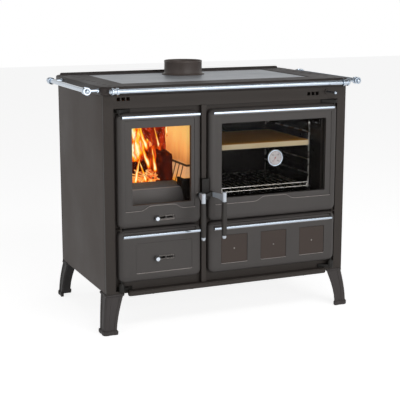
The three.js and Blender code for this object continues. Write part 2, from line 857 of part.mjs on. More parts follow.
function flueCollar() {
  const bore = flueRadius - flueWall;
  const fillet = 3;
  const profile = [
    [bore, 0],
    [flueRadius + flueFlange, 0],
    [flueRadius + flueFlange, flueFlangeThickness],
    [flueRadius + fillet, flueFlangeThickness],
    [flueRadius, flueFlangeThickness + fillet],
    [flueRadius, flueHeight - clearance],
    [bore, flueHeight - clearance],
    [bore, 0],
  ];
  return turned(profile, [flueX, flueY, hobSurface + clearance], Z, 28);
}
piece(top, "flue_collar", flueCollar(), materials.castIron);

// ---------------------------------------------------------------- rails

const rails = group("rails");

function rail(start, axis, length) {
  const inner = railRadius - railBevel;
  const tube = [[railRadius, railBevel], [railRadius, length - railBevel]];
  const profile = [[0, 0], [inner, 0], ...tube, [inner, length], [0, length]];
  return turned(profile, start, axis);
}
const frontRailEnds = widen([topLeft, topRight], -frontRailInset);
const frontRailLength = frontRailEnds[1] - frontRailEnds[0];
const sideRailX = topRight + sideRailGap;
const sideRailLength = sideRailEnd - sideRailStart;
const frontRail = rail([frontRailEnds[0], frontRailY, railZ], X, frontRailLength);
const sideRail = (x) => rail([x, sideRailStart, railZ], Y, sideRailLength);
piece(rails, "front_rail", frontRail, materials.chrome);
piece(rails, "side_rail_left", sideRail(-sideRailX), materials.chrome);
piece(rails, "side_rail_right", sideRail(sideRailX), materials.chrome);

// A sleeve round the rail with a ring at both ends, on a stub with a rosette at the top's edge.
function bracket([x, y], axis, towards, gap) {
  const bore = railRadius + holeClearance;
  const half = bracketLength / 2;
  const profile = [
    [bore, -half],
    [bracketRadius, -half],
    [bracketRadius, bracketRing - half],
    [bracketWaist, bracketRing - half + 1],
    [bracketWaist, half - bracketRing - 1],
    [bracketRadius, half - bracketRing],
    [bracketRadius, half],
    [bore, half],
    [bore, -half],
  ];
  const along = (distance) => [x + towards.x * distance, y + towards.y * distance, railZ];
  const seat = gap - clearance;
  return join(
    turned(profile, [x, y, railZ], axis, 12),
    rod(along(bracketWaist - 1), along(seat), stubRadius, 8),
    rod(along(seat - rosetteThickness), along(seat), rosetteRadius, 10),
  );
}
const frontBracketX = frontRailEnds[1] - frontBracketInset;
for (const [name, side] of [["left", -1], ["right", 1]]) {
  const outwards = X.clone().multiplyScalar(-side);
  const front = bracket([side * frontBracketX, frontRailY], X, Y, frontRailGap);
  piece(rails, "rail_bracket_front_" + name, front, materials.chrome);
  for (const [place, y] of Object.entries(sideBrackets)) {
    const flank = bracket([side * sideRailX, y], Y, outwards, sideRailGap);
    piece(rails, `rail_bracket_${name}_${place}`, flank, materials.chrome);
  }
}

// ---------------------------------------------------------------- doors

// The casting of a door: a slab whose outer edge rolls back to the sides in a quarter ellipse,
// bored for its two pins, with a seat for the chrome strip.
function doorSlab(d) {
  const rings = [{ at: doorBack, points: roundedRing([d.x0, d.x1], [d.z0, d.z1], doorCorner) }];
  for (let i = 0; i <= pillowSteps; i++) {
    const angle = ((i / pillowSteps) * Math.PI) / 2;
    const inset = pillowWidth * (1 - Math.cos(angle));
    const radius = doorCorner - cornerFollow * inset;
    rings.push({
      at: doorFace + pillowDepth * (1 - Math.sin(angle)),
      points: roundedRing([d.x0, d.x1], [d.z0, d.z1], radius, inset),
    });
  }
  const slab = loft(rings, (a, b, y) => [a, y, b]);
  const bore = pinRadius + holeClearance;
  const hole = (from, to) => rod([d.hingeX, hingeY, from], [d.hingeX, hingeY, to], bore);
  const holes = [hole(d.z0 - 1, d.z0 + pinDepth + 1), hole(d.z1 - pinDepth - 1, d.z1 + 1)];
  return cut(slab, stripSection(d, clearance, doorFace - pillowDepth), ...holes);
}

// The bar that a door's chrome strip fills, or with a gap round it, its seat.
function stripSection(d, gap, front) {
  const ends = [d.hingeEdge - d.side * stripHingeInset, d.freeEdge + d.side * d.stripFreeInset];
  const columns = widen(ends.sort((a, b) => a - b), gap);
  const rows = middle(d.z1 - d.stripDrop, stripHeight + 2 * gap);
  const depth = [front, doorFace + stripSeat + gap];
  return prism(roundedRect(depth, rows, stripHeight / 3), inYZ, columns, 3);
}

function strip(d) {
  return stripSection(d, 0, doorFace - stripProud);
}

// The window's own outline and the sunk field round it, whose lower edge is an ogee.
function windowOf(d, hingeStile, freeStile) {
  const ends = [d.hingeEdge - d.side * hingeStile, d.freeEdge + d.side * freeStile];
  return { columns: ends.sort((a, b) => a - b), rows: [d.z0 + windowBottomRail, d.z1 - windowTopRail] };
}

function apronShape(d, { columns, rows }) {
  const centre = (columns[0] + columns[1]) / 2;
  const low = rows[0] - apronDrop;
  const high = low + ogeeRise;
  const [x0, x1] = widen([d.x0, d.x1], -apronInset);
  const bend = ogeeShoulder / 2;
  const inner = ogeeHalfTop;
  const outer = ogeeHalfTop + ogeeShoulder;
  const shape = new THREE.Shape();
  shape.moveTo(x0, d.z1 - apronInset);
  shape.lineTo(x0, low);
  shape.lineTo(centre - outer, low);
  shape.bezierCurveTo(centre - outer + bend, low, centre - inner - bend, high, centre - inner, high);
  shape.lineTo(centre + inner, high);
  shape.bezierCurveTo(centre + inner + bend, high, centre + outer - bend, low, centre + outer, low);
  shape.lineTo(x1, low);
  shape.lineTo(x1, d.z1 - apronInset);
  return shape;
}

// A door with a window: the sunk apron, the opening, the pane's rebate and the handle's boss.
function glazedDoor(d, window) {
  const x = d.freeEdge + d.side * latchInset;
  const along = (from, to, radius, sides) => rod([x, from, latchZ], [x, to, latchZ], radius, sides);
  const boss = along(doorFace - bossProud, hingeY, bossRadius, 12);
  const beyond = doorFace - pillowDepth;
  return cut(
    join(doorSlab(d), boss),
    prism(apronShape(d, window), inXZ, [beyond, doorFace + apronDepth], 6),
    prism(roundedRect(window.columns, window.rows, windowCorner), inXZ, [beyond, doorBack + 1], 3),
    box(widen(window.columns, paneLap), [doorFace + paneSeat, doorBack + 1], widen(window.rows, paneLap)),
    along(beyond, doorFace + shaftDepth + holeClearance, shaftRadius + holeClearance, 12),
  );
}

const paneFront = doorFace + paneSeat + clearance;
function pane({ columns, rows }) {
  const lap = paneLap - clearance;
  return box(widen(columns, lap), span(paneFront, paneThickness), widen(rows, lap));
}

// An air register: a sunk track with the knob's slot at one end and air holes at the other.
function register(d, rise, face) {
  const centre = (d.x0 + d.x1) / 2 + registerOffset;
  const track = middle(centre, registerLength);
  return { track, z: d.z0 + rise, face, knobX: track[0] + registerKnobInset };
}

function registerCuts(r) {
  const through = [r.face, doorBack + 1];
  const shank = shankRadius + holeClearance;
  const slotEnds = [r.knobX - shank, r.knobX + registerTravel + shank];
  const cuts = [
    prism(stadium(r.track, r.z, registerHeight / 2), inXZ, [doorFace - 1, r.face + registerDepth], 4),
    prism(stadium(slotEnds, r.z, shank), inXZ, through, 4),
  ];
  for (let i = 0; i < airHoleCount; i++) {
    const x = r.track[1] - airHoleInset - i * airHolePitch;
    cuts.push(rod([x, through[0], r.z], [x, through[1], r.z], airHoleRadius, 8));
  }
  return cuts;
}

// The knob on its shank, with the shutter that it moves behind the door.
function airSlider(r) {
  const start = doorBack + clearance;
  const knobEnd = start - doorFace + airKnobReach;
  const knobStart = knobEnd - airKnobLength;
  const profile = [
    [0, 0],
    [shankRadius, 0],
    [shankRadius, knobStart],
    [airKnobRadius - 1, knobStart],
    [airKnobRadius, knobStart + 1],
    [airKnobRadius, knobEnd - 2],
    [airKnobRadius - 2, knobEnd],
    [0, knobEnd],
  ];
  const shutterColumns = span(r.knobX - airKnobRadius, shutterLength);
  const shutter = box(shutterColumns, span(start, shutterThickness), middle(r.z, shutterHeight));
  const forwards = Y.clone().negate();
  return join(shutter, turned(profile, [r.knobX, start + shutterThickness / 2, r.z], forwards));
}

const fireWindow = windowOf(fireDoor, fireHingeStile, fireFreeStile);
const ovenWindow = windowOf(ovenDoor, ovenHingeStile, ovenFreeStile);
const fireRegister = register(fireDoor, fireRegisterRise, doorFace);
const ashRegister = register(ashDoor, ashRegisterRise, doorFace + panelSink);

const fireDoorGroup = group("fire_door");
const fireDoorFrame = cut(glazedDoor(fireDoor, fireWindow), ...registerCuts(fireRegister));
piece(fireDoorGroup, "fire_door_frame", fireDoorFrame, materials.doorIron);
piece(fireDoorGroup, "fire_door_glass", pane(fireWindow), materials.glass);
piece(fireDoorGroup, "fire_door_trim", strip(fireDoor), materials.chrome);
piece(fireDoorGroup, "fire_air_slider", airSlider(fireRegister), materials.chrome);

// The thermometer's stem passes through a hole in the oven's pane.
const dialX = (ovenWindow.columns[0] + ovenWindow.columns[1]) / 2 + thermometerOffset;
const dialZ = ovenDoor.z0 + thermometerRise;
const dialBack = paneFront - clearance;
const dialFront = dialBack - thermometerDepth;

function ovenPane() {
  const ends = [[dialX, dialBack, dialZ], [dialX, paneFront + paneThickness + 1, dialZ]];
  return cut(pane(ovenWindow), rod(...ends, thermometerStem + holeClearance));
}

function thermometer() {
  const stemEnd = paneFront + paneThickness + thermometerReach - dialFront;
  const dial = thermometerRadius - bezelWidth;
  const profile = [
    [0, dialSink],
    [dial, dialSink],
    [dial, 0],
    [thermometerRadius - 1, 0],
    [thermometerRadius, 1],
    [thermometerRadius, thermometerDepth],
    [thermometerStem, thermometerDepth],
    [thermometerStem, stemEnd],
    [0, stemEnd],
  ];
  const needleRows = span(dialZ - bezelWidth, dial);
  const needle = box(middle(dialX, needleWidth), span(dialFront + 1, dialSink), needleRows);
  return join(turned(profile, [dialX, dialFront, dialZ], Y, 20), needle);
}

const ovenDoorGroup = group("oven_door");
piece(ovenDoorGroup, "oven_door_frame", glazedDoor(ovenDoor, ovenWindow), materials.doorIron);
piece(ovenDoorGroup, "oven_door_glass", ovenPane(), materials.glass);
piece(ovenDoorGroup, "oven_door_trim", strip(ovenDoor), materials.chrome);
piece(ovenDoorGroup, "oven_thermometer", thermometer(), materials.dial);

// A lower door has a finger groove along its top, above the strip.
function lowerDoor(d) {
  const groove = [d.x0 + pullInset, d.x1 - pullInset].map((x) => [x, doorFace + pullBack, d.z1 - pullDrop]);
  return cut(doorSlab(d), rod(...groove, pullRadius));
}

function ashPanel() {
  const { hingeEdge, freeEdge, side } = ashDoor;
  const ends = [hingeEdge - side * panelHingeInset, freeEdge + side * panelFreeInset];
  const rows = [ashDoor.z0 + panelBottomInset, ashDoor.z1 - panelTopInset];
  const field = roundedRect(ends.sort((a, b) => a - b), rows, windowCorner);
  return prism(field, inXZ, [doorFace - 1, doorFace + panelSink], 3);
}

const ashDoorGroup = group("ash_door");
const ashDoorPanel = cut(lowerDoor(ashDoor), ashPanel(), ...registerCuts(ashRegister));
piece(ashDoorGroup, "ash_door_panel", ashDoorPanel, materials.doorIron);
piece(ashDoorGroup, "ash_door_trim", strip(ashDoor), materials.chrome);
piece(ashDoorGroup, "ash_air_slider", airSlider(ashRegister), materials.chrome);

// The storage door's inserts lie a little below its face, each in a pocket of its own.
const insertSeat = doorFace + insertSink;
function insertShape(i, size) {
  const centre = (storageDoor.x0 + storageDoor.x1) / 2 + (i - (insertCount - 1) / 2) * insertPitch;
  return roundedRect(middle(centre, size), middle(storageDoor.z0 + insertRise, size), windowCorner);
}
const insertNumbers = Array.from({ length: insertCount }, (_, i) => i);
const insertPockets = insertNumbers.map((i) => {
  const depth = [doorFace - 1, insertSeat + insertThickness + clearance];
  return prism(insertShape(i, insertSize + 2 * insertGap), inXZ, depth, 3);
});

const storageDoorGroup = group("storage_door");
const storageDoorFrame = cut(lowerDoor(storageDoor), ...insertPockets);
piece(storageDoorGroup, "storage_door_frame", storageDoorFrame, materials.doorIron);
piece(storageDoorGroup, "storage_door_trim", strip(storageDoor), materials.chrome);
for (const i of insertNumbers) {
  const insert = prism(insertShape(i, insertSize), inXZ, span(insertSeat, insertThickness), 3);
  piece(storageDoorGroup, "storage_insert_" + (i + 1), insert, materials.caseEnamel);
}

// ---------------------------------------------------------------- handles and their keeper

const camBack = doorFace - bossProud - clearance;
const camFront = camBack - camThickness;
const camReach = latchInset + (doorMiddleGap - camGap) / 2;

// The handle's metalwork: the shaft in a blind bore of the door, the cam, an arm that deepens
// towards the front over a curved underside, and the holder with the grip's spindle and cap.
function lever(d) {
  const x = d.freeEdge + d.side * latchInset;
  const gripX = x + d.side * armSide;
  const gripY = camFront - armLength;
  const direction = d.side > 0 ? Math.PI : 0;
  const cam = teardrop([x, latchZ], camRadius, camReach - camNose, camNose, direction);

  const arm = new THREE.Shape();
  const half = armHeight / 2;
  arm.moveTo(0, half);
  arm.lineTo(0, -half);
  arm.quadraticCurveTo(gussetStart, -half, armLength, -half - gussetDrop);
  arm.lineTo(armLength, half);
  const forwards = new THREE.Vector3(gripX - x, gripY - camFront, 0).normalize();
  const along = new THREE.Matrix4().makeBasis(forwards, Z, new THREE.Vector3().crossVectors(forwards, Z));
  along.setPosition(x, camFront + 1, latchZ);

  const holder = holderHeight / 2;
  const spindleEnd = -holder - clearance - gripLength - clearance;
  const profile = [
    [0, spindleEnd - capHeight],
    [gripEndRadius - 4, spindleEnd - capHeight],
    [gripEndRadius - 1, spindleEnd - capHeight + capRound],
    [gripEndRadius - 1, spindleEnd],
    [spindleRadius, spindleEnd],
    [spindleRadius, -holder],
    [holderRadius - 1, -holder],
    [holderRadius, 1 - holder],
    [holderRadius, holder - 1],
    [holderRadius - 1, holder],
    [0, holder],
  ];
  return join(
    rod([x, camBack, latchZ], [x, doorFace + shaftDepth, latchZ], shaftRadius, 12),
    prism(cam, inXZ, [camFront, camBack], 7),
    prism(arm, along, middle(0, armThickness), 5),
    turned(profile, [gripX, gripY, latchZ], Z, 14),
  );
}

// The grip is a barrel on the spindle.
function grip(d) {
  const top = -holderHeight / 2 - clearance;
  const bore = spindleRadius + holeClearance;
  const stations = 5;
  const outside = [];
  for (let i = 0; i <= stations; i++) {
    const swell = Math.sin((i / stations) * Math.PI);
    const radius = gripEndRadius + (gripRadius - gripEndRadius) * swell;
    outside.push([radius, top - (gripLength * (stations - i)) / stations]);
  }
  const profile = [[bore, top - gripLength], ...outside, [bore, top], [bore, top - gripLength]];
  const x = d.freeEdge + d.side * (latchInset + armSide);
  return turned(profile, [x, camFront - armLength, latchZ], Z, 12);
}

const fireHandle = group("fire_handle");
piece(fireHandle, "fire_handle_lever", lever(fireDoor), materials.chrome);
piece(fireHandle, "fire_handle_grip", grip(fireDoor), materials.gripBlack);
const ovenHandle = group("oven_handle");
piece(ovenHandle, "oven_handle_lever", lever(ovenDoor), materials.chrome);
piece(ovenHandle, "oven_handle_grip", grip(ovenDoor), materials.gripBlack);

// The keeper stands on the mullion's rib, right behind both cams.
function keeper() {
  const rows = [latchZ - keeperDrop, latchZ + keeperRise];
  const block = roundedRect(middle(mullionX, keeperWidth), rows, windowCorner);
  return prism(block, inXZ, [camBack + clearance, -mullionProud - clearance], 3);
}
piece(carcass, "latch_keeper", keeper(), materials.blackSteel);

// ---------------------------------------------------------------- firebox

const fire = group("firebox");
const shellInside = widen(shell, -shellWall);
const grateX = (shellInside[0] + shellInside[1]) / 2;

// The shell: two cheeks and a back, with the ash floor and the hearth between them.
function fireboxShell() {
  const rows = [caseBottom + flange + clearance, caseTop - shellTopGap];
  const inside = [behindFrame - 1, shellBack - shellWall];
  const walls = cut(box(shell, [behindFrame, shellBack], rows), box(shellInside, inside, widen(rows, 1)));
  const floor = box(widen(shellInside, 1), [behindFrame, shellBack - 1], [ashTop - shellWall, ashTop]);
  const shelfRows = [hearth - hearthThickness, hearth];
  const shelf = box(widen(shellInside, 1), [behindFrame, shellBack - 1], shelfRows);
  const hole = widen(middle(grateX, grateWidth), -grateLap);
  const holeDepth = widen(span(grateFront, grateDepth), -grateLap);
  return join(walls, floor, cut(shelf, box(hole, holeDepth, widen(shelfRows, 1))));
}
piece(fire, "firebox", fireboxShell(), materials.castIron);

const brickRows = span(hearth + clearance, brickHeight);
const courseRows = span(brickRows[0] + courseRise, courseHeight);
const brickBack = shellBack - shellWall - clearance;

// A brick lining. The joints of its low course are open on the side that faces the fire.
function cheekBrick(side) {
  const wall = side < 0 ? shellInside[0] + clearance : shellInside[1] - clearance;
  const fireSide = wall - side * brickThickness;
  const columns = [wall, fireSide].sort((a, b) => a - b);
  const brick = box(columns, [brickFront, brickBack], brickRows);
  const jointColumns = [fireSide + side * jointDepth, fireSide - side].sort((a, b) => a - b);
  const joints = [];
  for (let i = 1; i <= sideJoints; i++) {
    const depths = middle(brickFront + i * jointPitch, jointWidth);
    joints.push(box(jointColumns, depths, courseRows));
  }
  return cut(brick, ...joints);
}

function backBrick() {
  const columns = widen(shellInside, -brickThickness - 2 * clearance);
  const front = brickBack - brickThickness;
  const brick = box(columns, [front, brickBack], brickRows);
  const joints = [];
  for (let i = 0; i < backJoints; i++) {
    const joint = middle(grateX + (i - (backJoints - 1) / 2) * jointPitch, jointWidth);
    joints.push(box(joint, [front - 1, front + jointDepth], courseRows));
  }
  return cut(brick, ...joints);
}
piece(fire, "firebrick_left", cheekBrick(-1), materials.firebrick);
piece(fire, "firebrick_right", cheekBrick(1), materials.firebrick);
piece(fire, "firebrick_back", backBrick(), materials.firebrick);

// The grate lies over the hole in the hearth.
function grate() {
  const depth = span(grateFront, grateDepth);
  const rows = span(hearth + clearance, grateThickness);
  const plate = prism(roundedRect(middle(grateX, grateWidth), depth, windowCorner), inXY, rows, 3);
  const slots = [];
  for (let i = 0; i < grateSlots; i++) {
    const x = grateX + (i - (grateSlots - 1) / 2) * grateSlotPitch;
    const length = widen(depth, -2 * grateLap);
    slots.push(box(middle(x, grateSlotWidth), length, widen(rows, 1)));
  }
  return cut(plate, ...slots);
}
piece(fire, "fire_grate", grate(), materials.castIron);

// The log retainer: an upright plate behind the fire door and a shelf along its head.
function retainer() {
  const columns = widen(shellInside, -brickThickness - 2 * clearance);
  const foot = hearth + clearance;
  const head = foot + retainerHeight;
  const back = retainerFront + retainerDepth;
  const section = [
    [retainerFront, foot],
    [retainerFront + retainerWall, foot],
    [retainerFront + retainerWall, head - retainerWall],
    [back, head - retainerWall],
    [back, head],
    [retainerFront + 2, head],
    [retainerFront, head - 2],
  ];
  return prism(polygon(section), inYZ, columns);
}
piece(fire, "log_retainer", retainer(), materials.castIron);

// The ash pan: an open tray that stands on the ash floor, with a lip to pull it by.
function ashPan() {
  const columns = widen(fireColumns, -panSideGap);
  const depth = span(panFront, panDepth);
  const rows = span(ashTop + clearance, panHeight);
  const tray = cut(
    box(columns, depth, rows),
    box(widen(columns, -panWall), widen(depth, -panWall), [rows[0] + panWall, rows[1] + 1]),
  );
  return join(tray, box(columns, [panFront - panLip, panFront + 1], [rows[1] - panWall, rows[1]]));
}
piece(group("ash_pit"), "ash_pan", ashPan(), materials.ovenSteel);

// ---------------------------------------------------------------- oven

const ovenGroup = group("oven");

// The oven's liner: a box open to the front, with a flange behind the frame's web.
function ovenBox() {
  const outside = box(widen(oven, ovenWall), [behindFrame, ovenBack + ovenWall], widen(ovenRows, ovenWall));
  const lip = widen(oven, ovenWall + ovenFlange);
  const rim = box(lip, span(behindFrame, ovenWall), widen(ovenRows, ovenWall + ovenFlange));
  return cut(join(outside, rim), box(oven, [behindFrame - 1, ovenBack], ovenRows));
}
piece(ovenGroup, "oven_box", ovenBox(), materials.ovenSteel);

const rungZ = Array.from({ length: runnerLevels }, (_, i) => ovenRows[0] + runnerFirst + i * runnerPitch);
const frameX = widen(oven, -runnerInset);
const rungX = widen(frameX, wireWeld - 2 * wireRadius);

// A wire runner: two uprights on feet against the oven's wall, and rungs along their inner side.
function runner(side) {
  const k = side < 0 ? 0 : 1;
  const wall = oven[k] - side * clearance;
  const ends = [rungZ[0] - runnerMargin, rungZ.at(-1) + runnerMargin];
  const wires = [];
  for (const y of [runnerFront, runnerBack]) {
    wires.push(rod([frameX[k], y, ends[0]], [frameX[k], y, ends[1]], wireRadius, 6));
    for (const z of ends.map((end, i) => end + (i ? -1 : 1) * 2 * wireRadius))
      wires.push(rod([wall, y, z], [frameX[k], y, z], wireRadius, 6));
  }
  const rung = widen([runnerFront, runnerBack], 2 * wireRadius);
  for (const z of rungZ) wires.push(rod([rungX[k], rung[0], z], [rungX[k], rung[1], z], wireRadius, 6));
  return join(...wires);
}
piece(ovenGroup, "rack_runner_left", runner(-1), materials.chrome);
piece(ovenGroup, "rack_runner_right", runner(1), materials.chrome);

// The wire rack rests on its level's rungs; its front wire is doubled by a guard above it.
function rack() {
  const z = rungZ[rackLevel] + 2 * wireRadius + clearance;
  const [y0, y1] = span(rackFront, rackDepth);
  const [x0, x1] = widen(rungX, -wireWeld - clearance);
  const wires = [
    rod([x0, y0 - wireRadius, z], [x0, y1 + wireRadius, z], wireRadius, 6),
    rod([x1, y0 - wireRadius, z], [x1, y1 + wireRadius, z], wireRadius, 6),
    rod([x0, y0, z], [x1, y0, z], wireRadius, 6),
    rod([x0, y1, z], [x1, y1, z], wireRadius, 6),
    rod([x0, y0, z + rackGuardRise], [x1, y0, z + rackGuardRise], wireRadius, 6),
  ];
  for (const x of [x0 + wireRadius, x1 - wireRadius])
    wires.push(rod([x, y0, z], [x, y0, z + rackGuardRise], wireRadius, 6));
  for (let i = 1; i <= rackWires; i++) {
    const x = x0 + ((x1 - x0) * i) / (rackWires + 1);
    wires.push(rod([x, y0, z + wireRadius], [x, y1, z + wireRadius], rackWireRadius, 4));
  }
  return join(...wires);
}
piece(group("oven_rack_slide"), "oven_rack", rack(), materials.chrome);

function stone() {
  const columns = widen(rungX, wireWeld);
  const foot = rungZ[stoneLevel] + wireRadius + clearance;
  const outline = roundedRect(columns, span(stoneFront, stoneDepth), stoneCorner);
  return prism(outline, inXY, span(foot, stoneThickness), 3);
}
piece(group("baking_stone_slide"), "baking_stone", stone(), materials.stone);

// ---------------------------------------------------------------- flue damper

// A ball on a rod through the header, with the plate that it moves over the oven.
function damperRod() {
  const ball = new THREE.SphereGeometry(damperKnobRadius, 12, 8);
  const plateDepth = span(damperRodDepth - damperPlateDepth, damperPlateDepth);
  const plateRows = middle(damper.z, damperPlateThickness);
  return join(
    solid(ball.translate(damper.x, -damperReach, damper.z)),
    rod([damper.x, -damperReach, damper.z], [damper.x, plateDepth[0] + 2, damper.z], damperRodRadius),
    box(middle(damper.x, damperPlateWidth), plateDepth, plateRows),
  );
}
piece(group("damper"), "damper_rod", damperRod(), materials.chrome);

// ---------------------------------------------------------------- the part's own frame

// From the grips' front to the rear feet, the footprint's middle is the origin.
const foremost = camFront - armLength - gripRadius;
const rearmost = caseDepth + legFlare + footLip;
stove.position.y = -(foremost + rearmost) / 2;

export default stove;
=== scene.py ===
# %% [markdown]
# # A wood-fired cookstove
#
# The stove has four cast legs, an enamelled case, two doors over two doors, a steel hob in a cast
# top and a chrome rail on three sides. The CAD model brings the true shapes and sizes. This lesson
# adds the camera, the finishes, softened edges, and the pieces that need finer shapes: rails, flue
# spigot, grips, damper rod, register ribs, thermometer, screws, firebricks, the log retainer and
# the burning fire. Everything is in metres.

# %% The frame
import math
import random

import bmesh
import bpy
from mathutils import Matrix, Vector


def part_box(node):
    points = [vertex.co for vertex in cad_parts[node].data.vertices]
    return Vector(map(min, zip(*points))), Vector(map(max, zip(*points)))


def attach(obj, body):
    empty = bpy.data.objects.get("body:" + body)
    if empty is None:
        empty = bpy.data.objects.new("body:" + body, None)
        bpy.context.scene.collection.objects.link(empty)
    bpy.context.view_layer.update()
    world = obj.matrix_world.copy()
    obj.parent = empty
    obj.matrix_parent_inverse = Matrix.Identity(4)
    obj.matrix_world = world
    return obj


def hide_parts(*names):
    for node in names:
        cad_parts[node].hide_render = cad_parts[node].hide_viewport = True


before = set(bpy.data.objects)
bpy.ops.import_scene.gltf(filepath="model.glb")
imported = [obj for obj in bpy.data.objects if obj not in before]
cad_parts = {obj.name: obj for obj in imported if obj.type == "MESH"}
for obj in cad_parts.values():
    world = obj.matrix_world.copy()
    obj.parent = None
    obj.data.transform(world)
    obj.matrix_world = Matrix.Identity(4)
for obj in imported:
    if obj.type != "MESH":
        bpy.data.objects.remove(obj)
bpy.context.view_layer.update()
scene = bpy.context.scene

# %% [markdown]
# ## The camera
#
# The photograph was taken with a long lens from the left of the stove and a little above it. The
# camera is placed at the point found from the corners of the case, and tilted down rather
# than shifted, so that it can also be moved round the stove.

# %% The camera
YAW, PITCH = 23.45, 11.44
bpy.ops.object.camera_add(
    location=(-1.561, -3.559, 1.182),
    rotation=(math.radians(90 - PITCH), 0, math.radians(-YAW)),
)
camera = bpy.context.object
camera.name = "camera"
camera.data.sensor_width = 36
camera.data.lens = 95.2
camera.data.clip_start = 0.1
scene.camera = camera
print("camera at", tuple(camera.location))

# %% [markdown]
# ## Tools of the lesson
#
# Operators act on what is selected, so every step first lets go of everything. Faces are then
# chosen in code, by where they lie or where they point.


# %% Selecting and finishing
def let_go():
    """Leaves edit mode and deselects every object."""
    if bpy.context.object is not None and bpy.context.object.mode != "OBJECT":
        bpy.ops.object.mode_set(mode="OBJECT")
    bpy.ops.object.select_all(action="DESELECT")


def hold(piece):
    """Selects one object alone and makes it active."""
    let_go()
    bpy.context.view_layer.objects.active = piece
    piece.select_set(True)


def edit(piece, everything=False):
    """Opens a piece in edit mode with nothing, or everything, selected."""
    hold(piece)
    bpy.ops.object.mode_set(mode="EDIT")
    bpy.ops.mesh.select_mode(type="FACE")
    bpy.ops.mesh.select_all(action="SELECT" if everything else "DESELECT")


def choose(piece, test):
    """Selects the faces of the piece in edit mode that pass the test."""
    shape = bmesh.from_edit_mesh(piece.data)
    for face in shape.faces:
        face.select_set(bool(test(face)))
    bmesh.update_edit_mesh(piece.data)


def settle(piece):
    """Writes the object's place, turn and scale into its mesh."""
    hold(piece)
    bpy.ops.object.transform_apply(location=True, rotation=True, scale=True)


# %% Changing a shape
def modify(piece, kind, **settings):
    """Adds a modifier with these settings and applies it."""
    hold(piece)
    modifier = piece.modifiers.new(kind.lower(), kind)
    for key, value in settings.items():
        setattr(modifier, key, value)
    bpy.ops.object.modifier_apply(modifier=modifier.name)


def round_edges(piece, width, segments=2, angle=35):
    """Rounds the edges of a piece that are sharper than the angle."""
    modify(
        piece, "BEVEL", width=width, segments=segments,
        limit_method="ANGLE", angle_limit=math.radians(angle),
    )


def push_faces(piece, test, by):
    """Moves the faces that pass the test, and with them what they share with their neighbours."""
    edit(piece)
    choose(piece, test)
    bpy.ops.transform.translate(value=by)
    bpy.ops.object.mode_set(mode="OBJECT")


def repeat(piece, count, step):
    """Repeats a piece in a row, each copy one step further."""
    modify(
        piece, "ARRAY", count=count, use_relative_offset=False,
        use_constant_offset=True, constant_offset_displace=step,
    )


def join(pieces):
    """Joins several objects into the first."""
    let_go()
    for piece in pieces:
        piece.select_set(True)
    bpy.context.view_layer.objects.active = pieces[0]
    bpy.ops.object.join()
    return pieces[0]


# %% Completing a piece
def complete(piece, name, body, finish, smooth=35, closed=True):
    """Settles, smooths, names and paints a piece, and hands it to its body."""
    settle(piece)
    edit(piece, everything=True)
    bpy.ops.mesh.remove_doubles(threshold=1e-6)
    if closed:
        bpy.ops.mesh.normals_make_consistent(inside=False)
    bpy.ops.object.mode_set(mode="OBJECT")
    bpy.ops.object.shade_smooth_by_angle(angle=math.radians(smooth))
    piece.name = piece.data.name = name
    piece.data.materials.clear()
    piece.data.materials.append(finish)
    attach(piece, body)
    print(name, "rides on", body, "with", len(piece.data.polygons), "faces")
    return piece


# %% Turning on the lathe
def turned(profile, sides=48):
    """A round piece on the Z axis: a disc is extruded and scaled through (radius, height)."""
    let_go()
    radius, height = profile[0]
    bpy.ops.mesh.primitive_circle_add(
        vertices=sides, radius=radius, fill_type="NGON", location=(0, 0, height)
    )
    piece = bpy.context.object
    settle(piece)
    edit(piece, everything=True)
    for next_radius, next_height in profile[1:]:
        bpy.ops.mesh.extrude_region_move(
            TRANSFORM_OT_translate={"value": (0, 0, next_height - height)}
        )
        share = next_radius / radius
        bpy.ops.transform.resize(
            value=(share, share, 1), center_override=(0, 0, next_height)
        )
        radius, height = next_radius, next_height
    bpy.ops.object.mode_set(mode="OBJECT")
    return piece


# %% Placing a piece
LAID_BACK = (-90, 0, 0)  # turns a lathe piece so that its foot faces the front of the stove


def place(piece, at, turn=(0, 0, 0)):
    """Turns a piece about the origin, moves it to its place and settles it."""
    piece.rotation_euler = [math.radians(angle) for angle in turn]
    piece.location = at
    settle(piece)
    return piece


def block(low, high):
    """A block between two corners, settled."""
    let_go()
    centre = [(a + b) / 2 for a, b in zip(low, high)]
    bpy.ops.mesh.primitive_cube_add(size=1, location=centre)
    piece = bpy.context.object
    piece.scale = [b - a for a, b in zip(low, high)]
    settle(piece)
    return piece


print("tools ready")

# %% [markdown]
# ## Finishes
#
# Each finish is one Principled shader. Noise in object coordinates gives it the small unevenness
# of the real thing, at the real thing's scale. Colours are given as they look on a screen.


# %% Parts of a finish
def screen(red, green, blue):
    """A screen colour, 0 to 255, as the shader wants it."""
    def linear(channel):
        share = channel / 255
        return share / 12.92 if share <= 0.04045 else ((share + 0.055) / 1.055) ** 2.4

    return (linear(red), linear(green), linear(blue), 1)


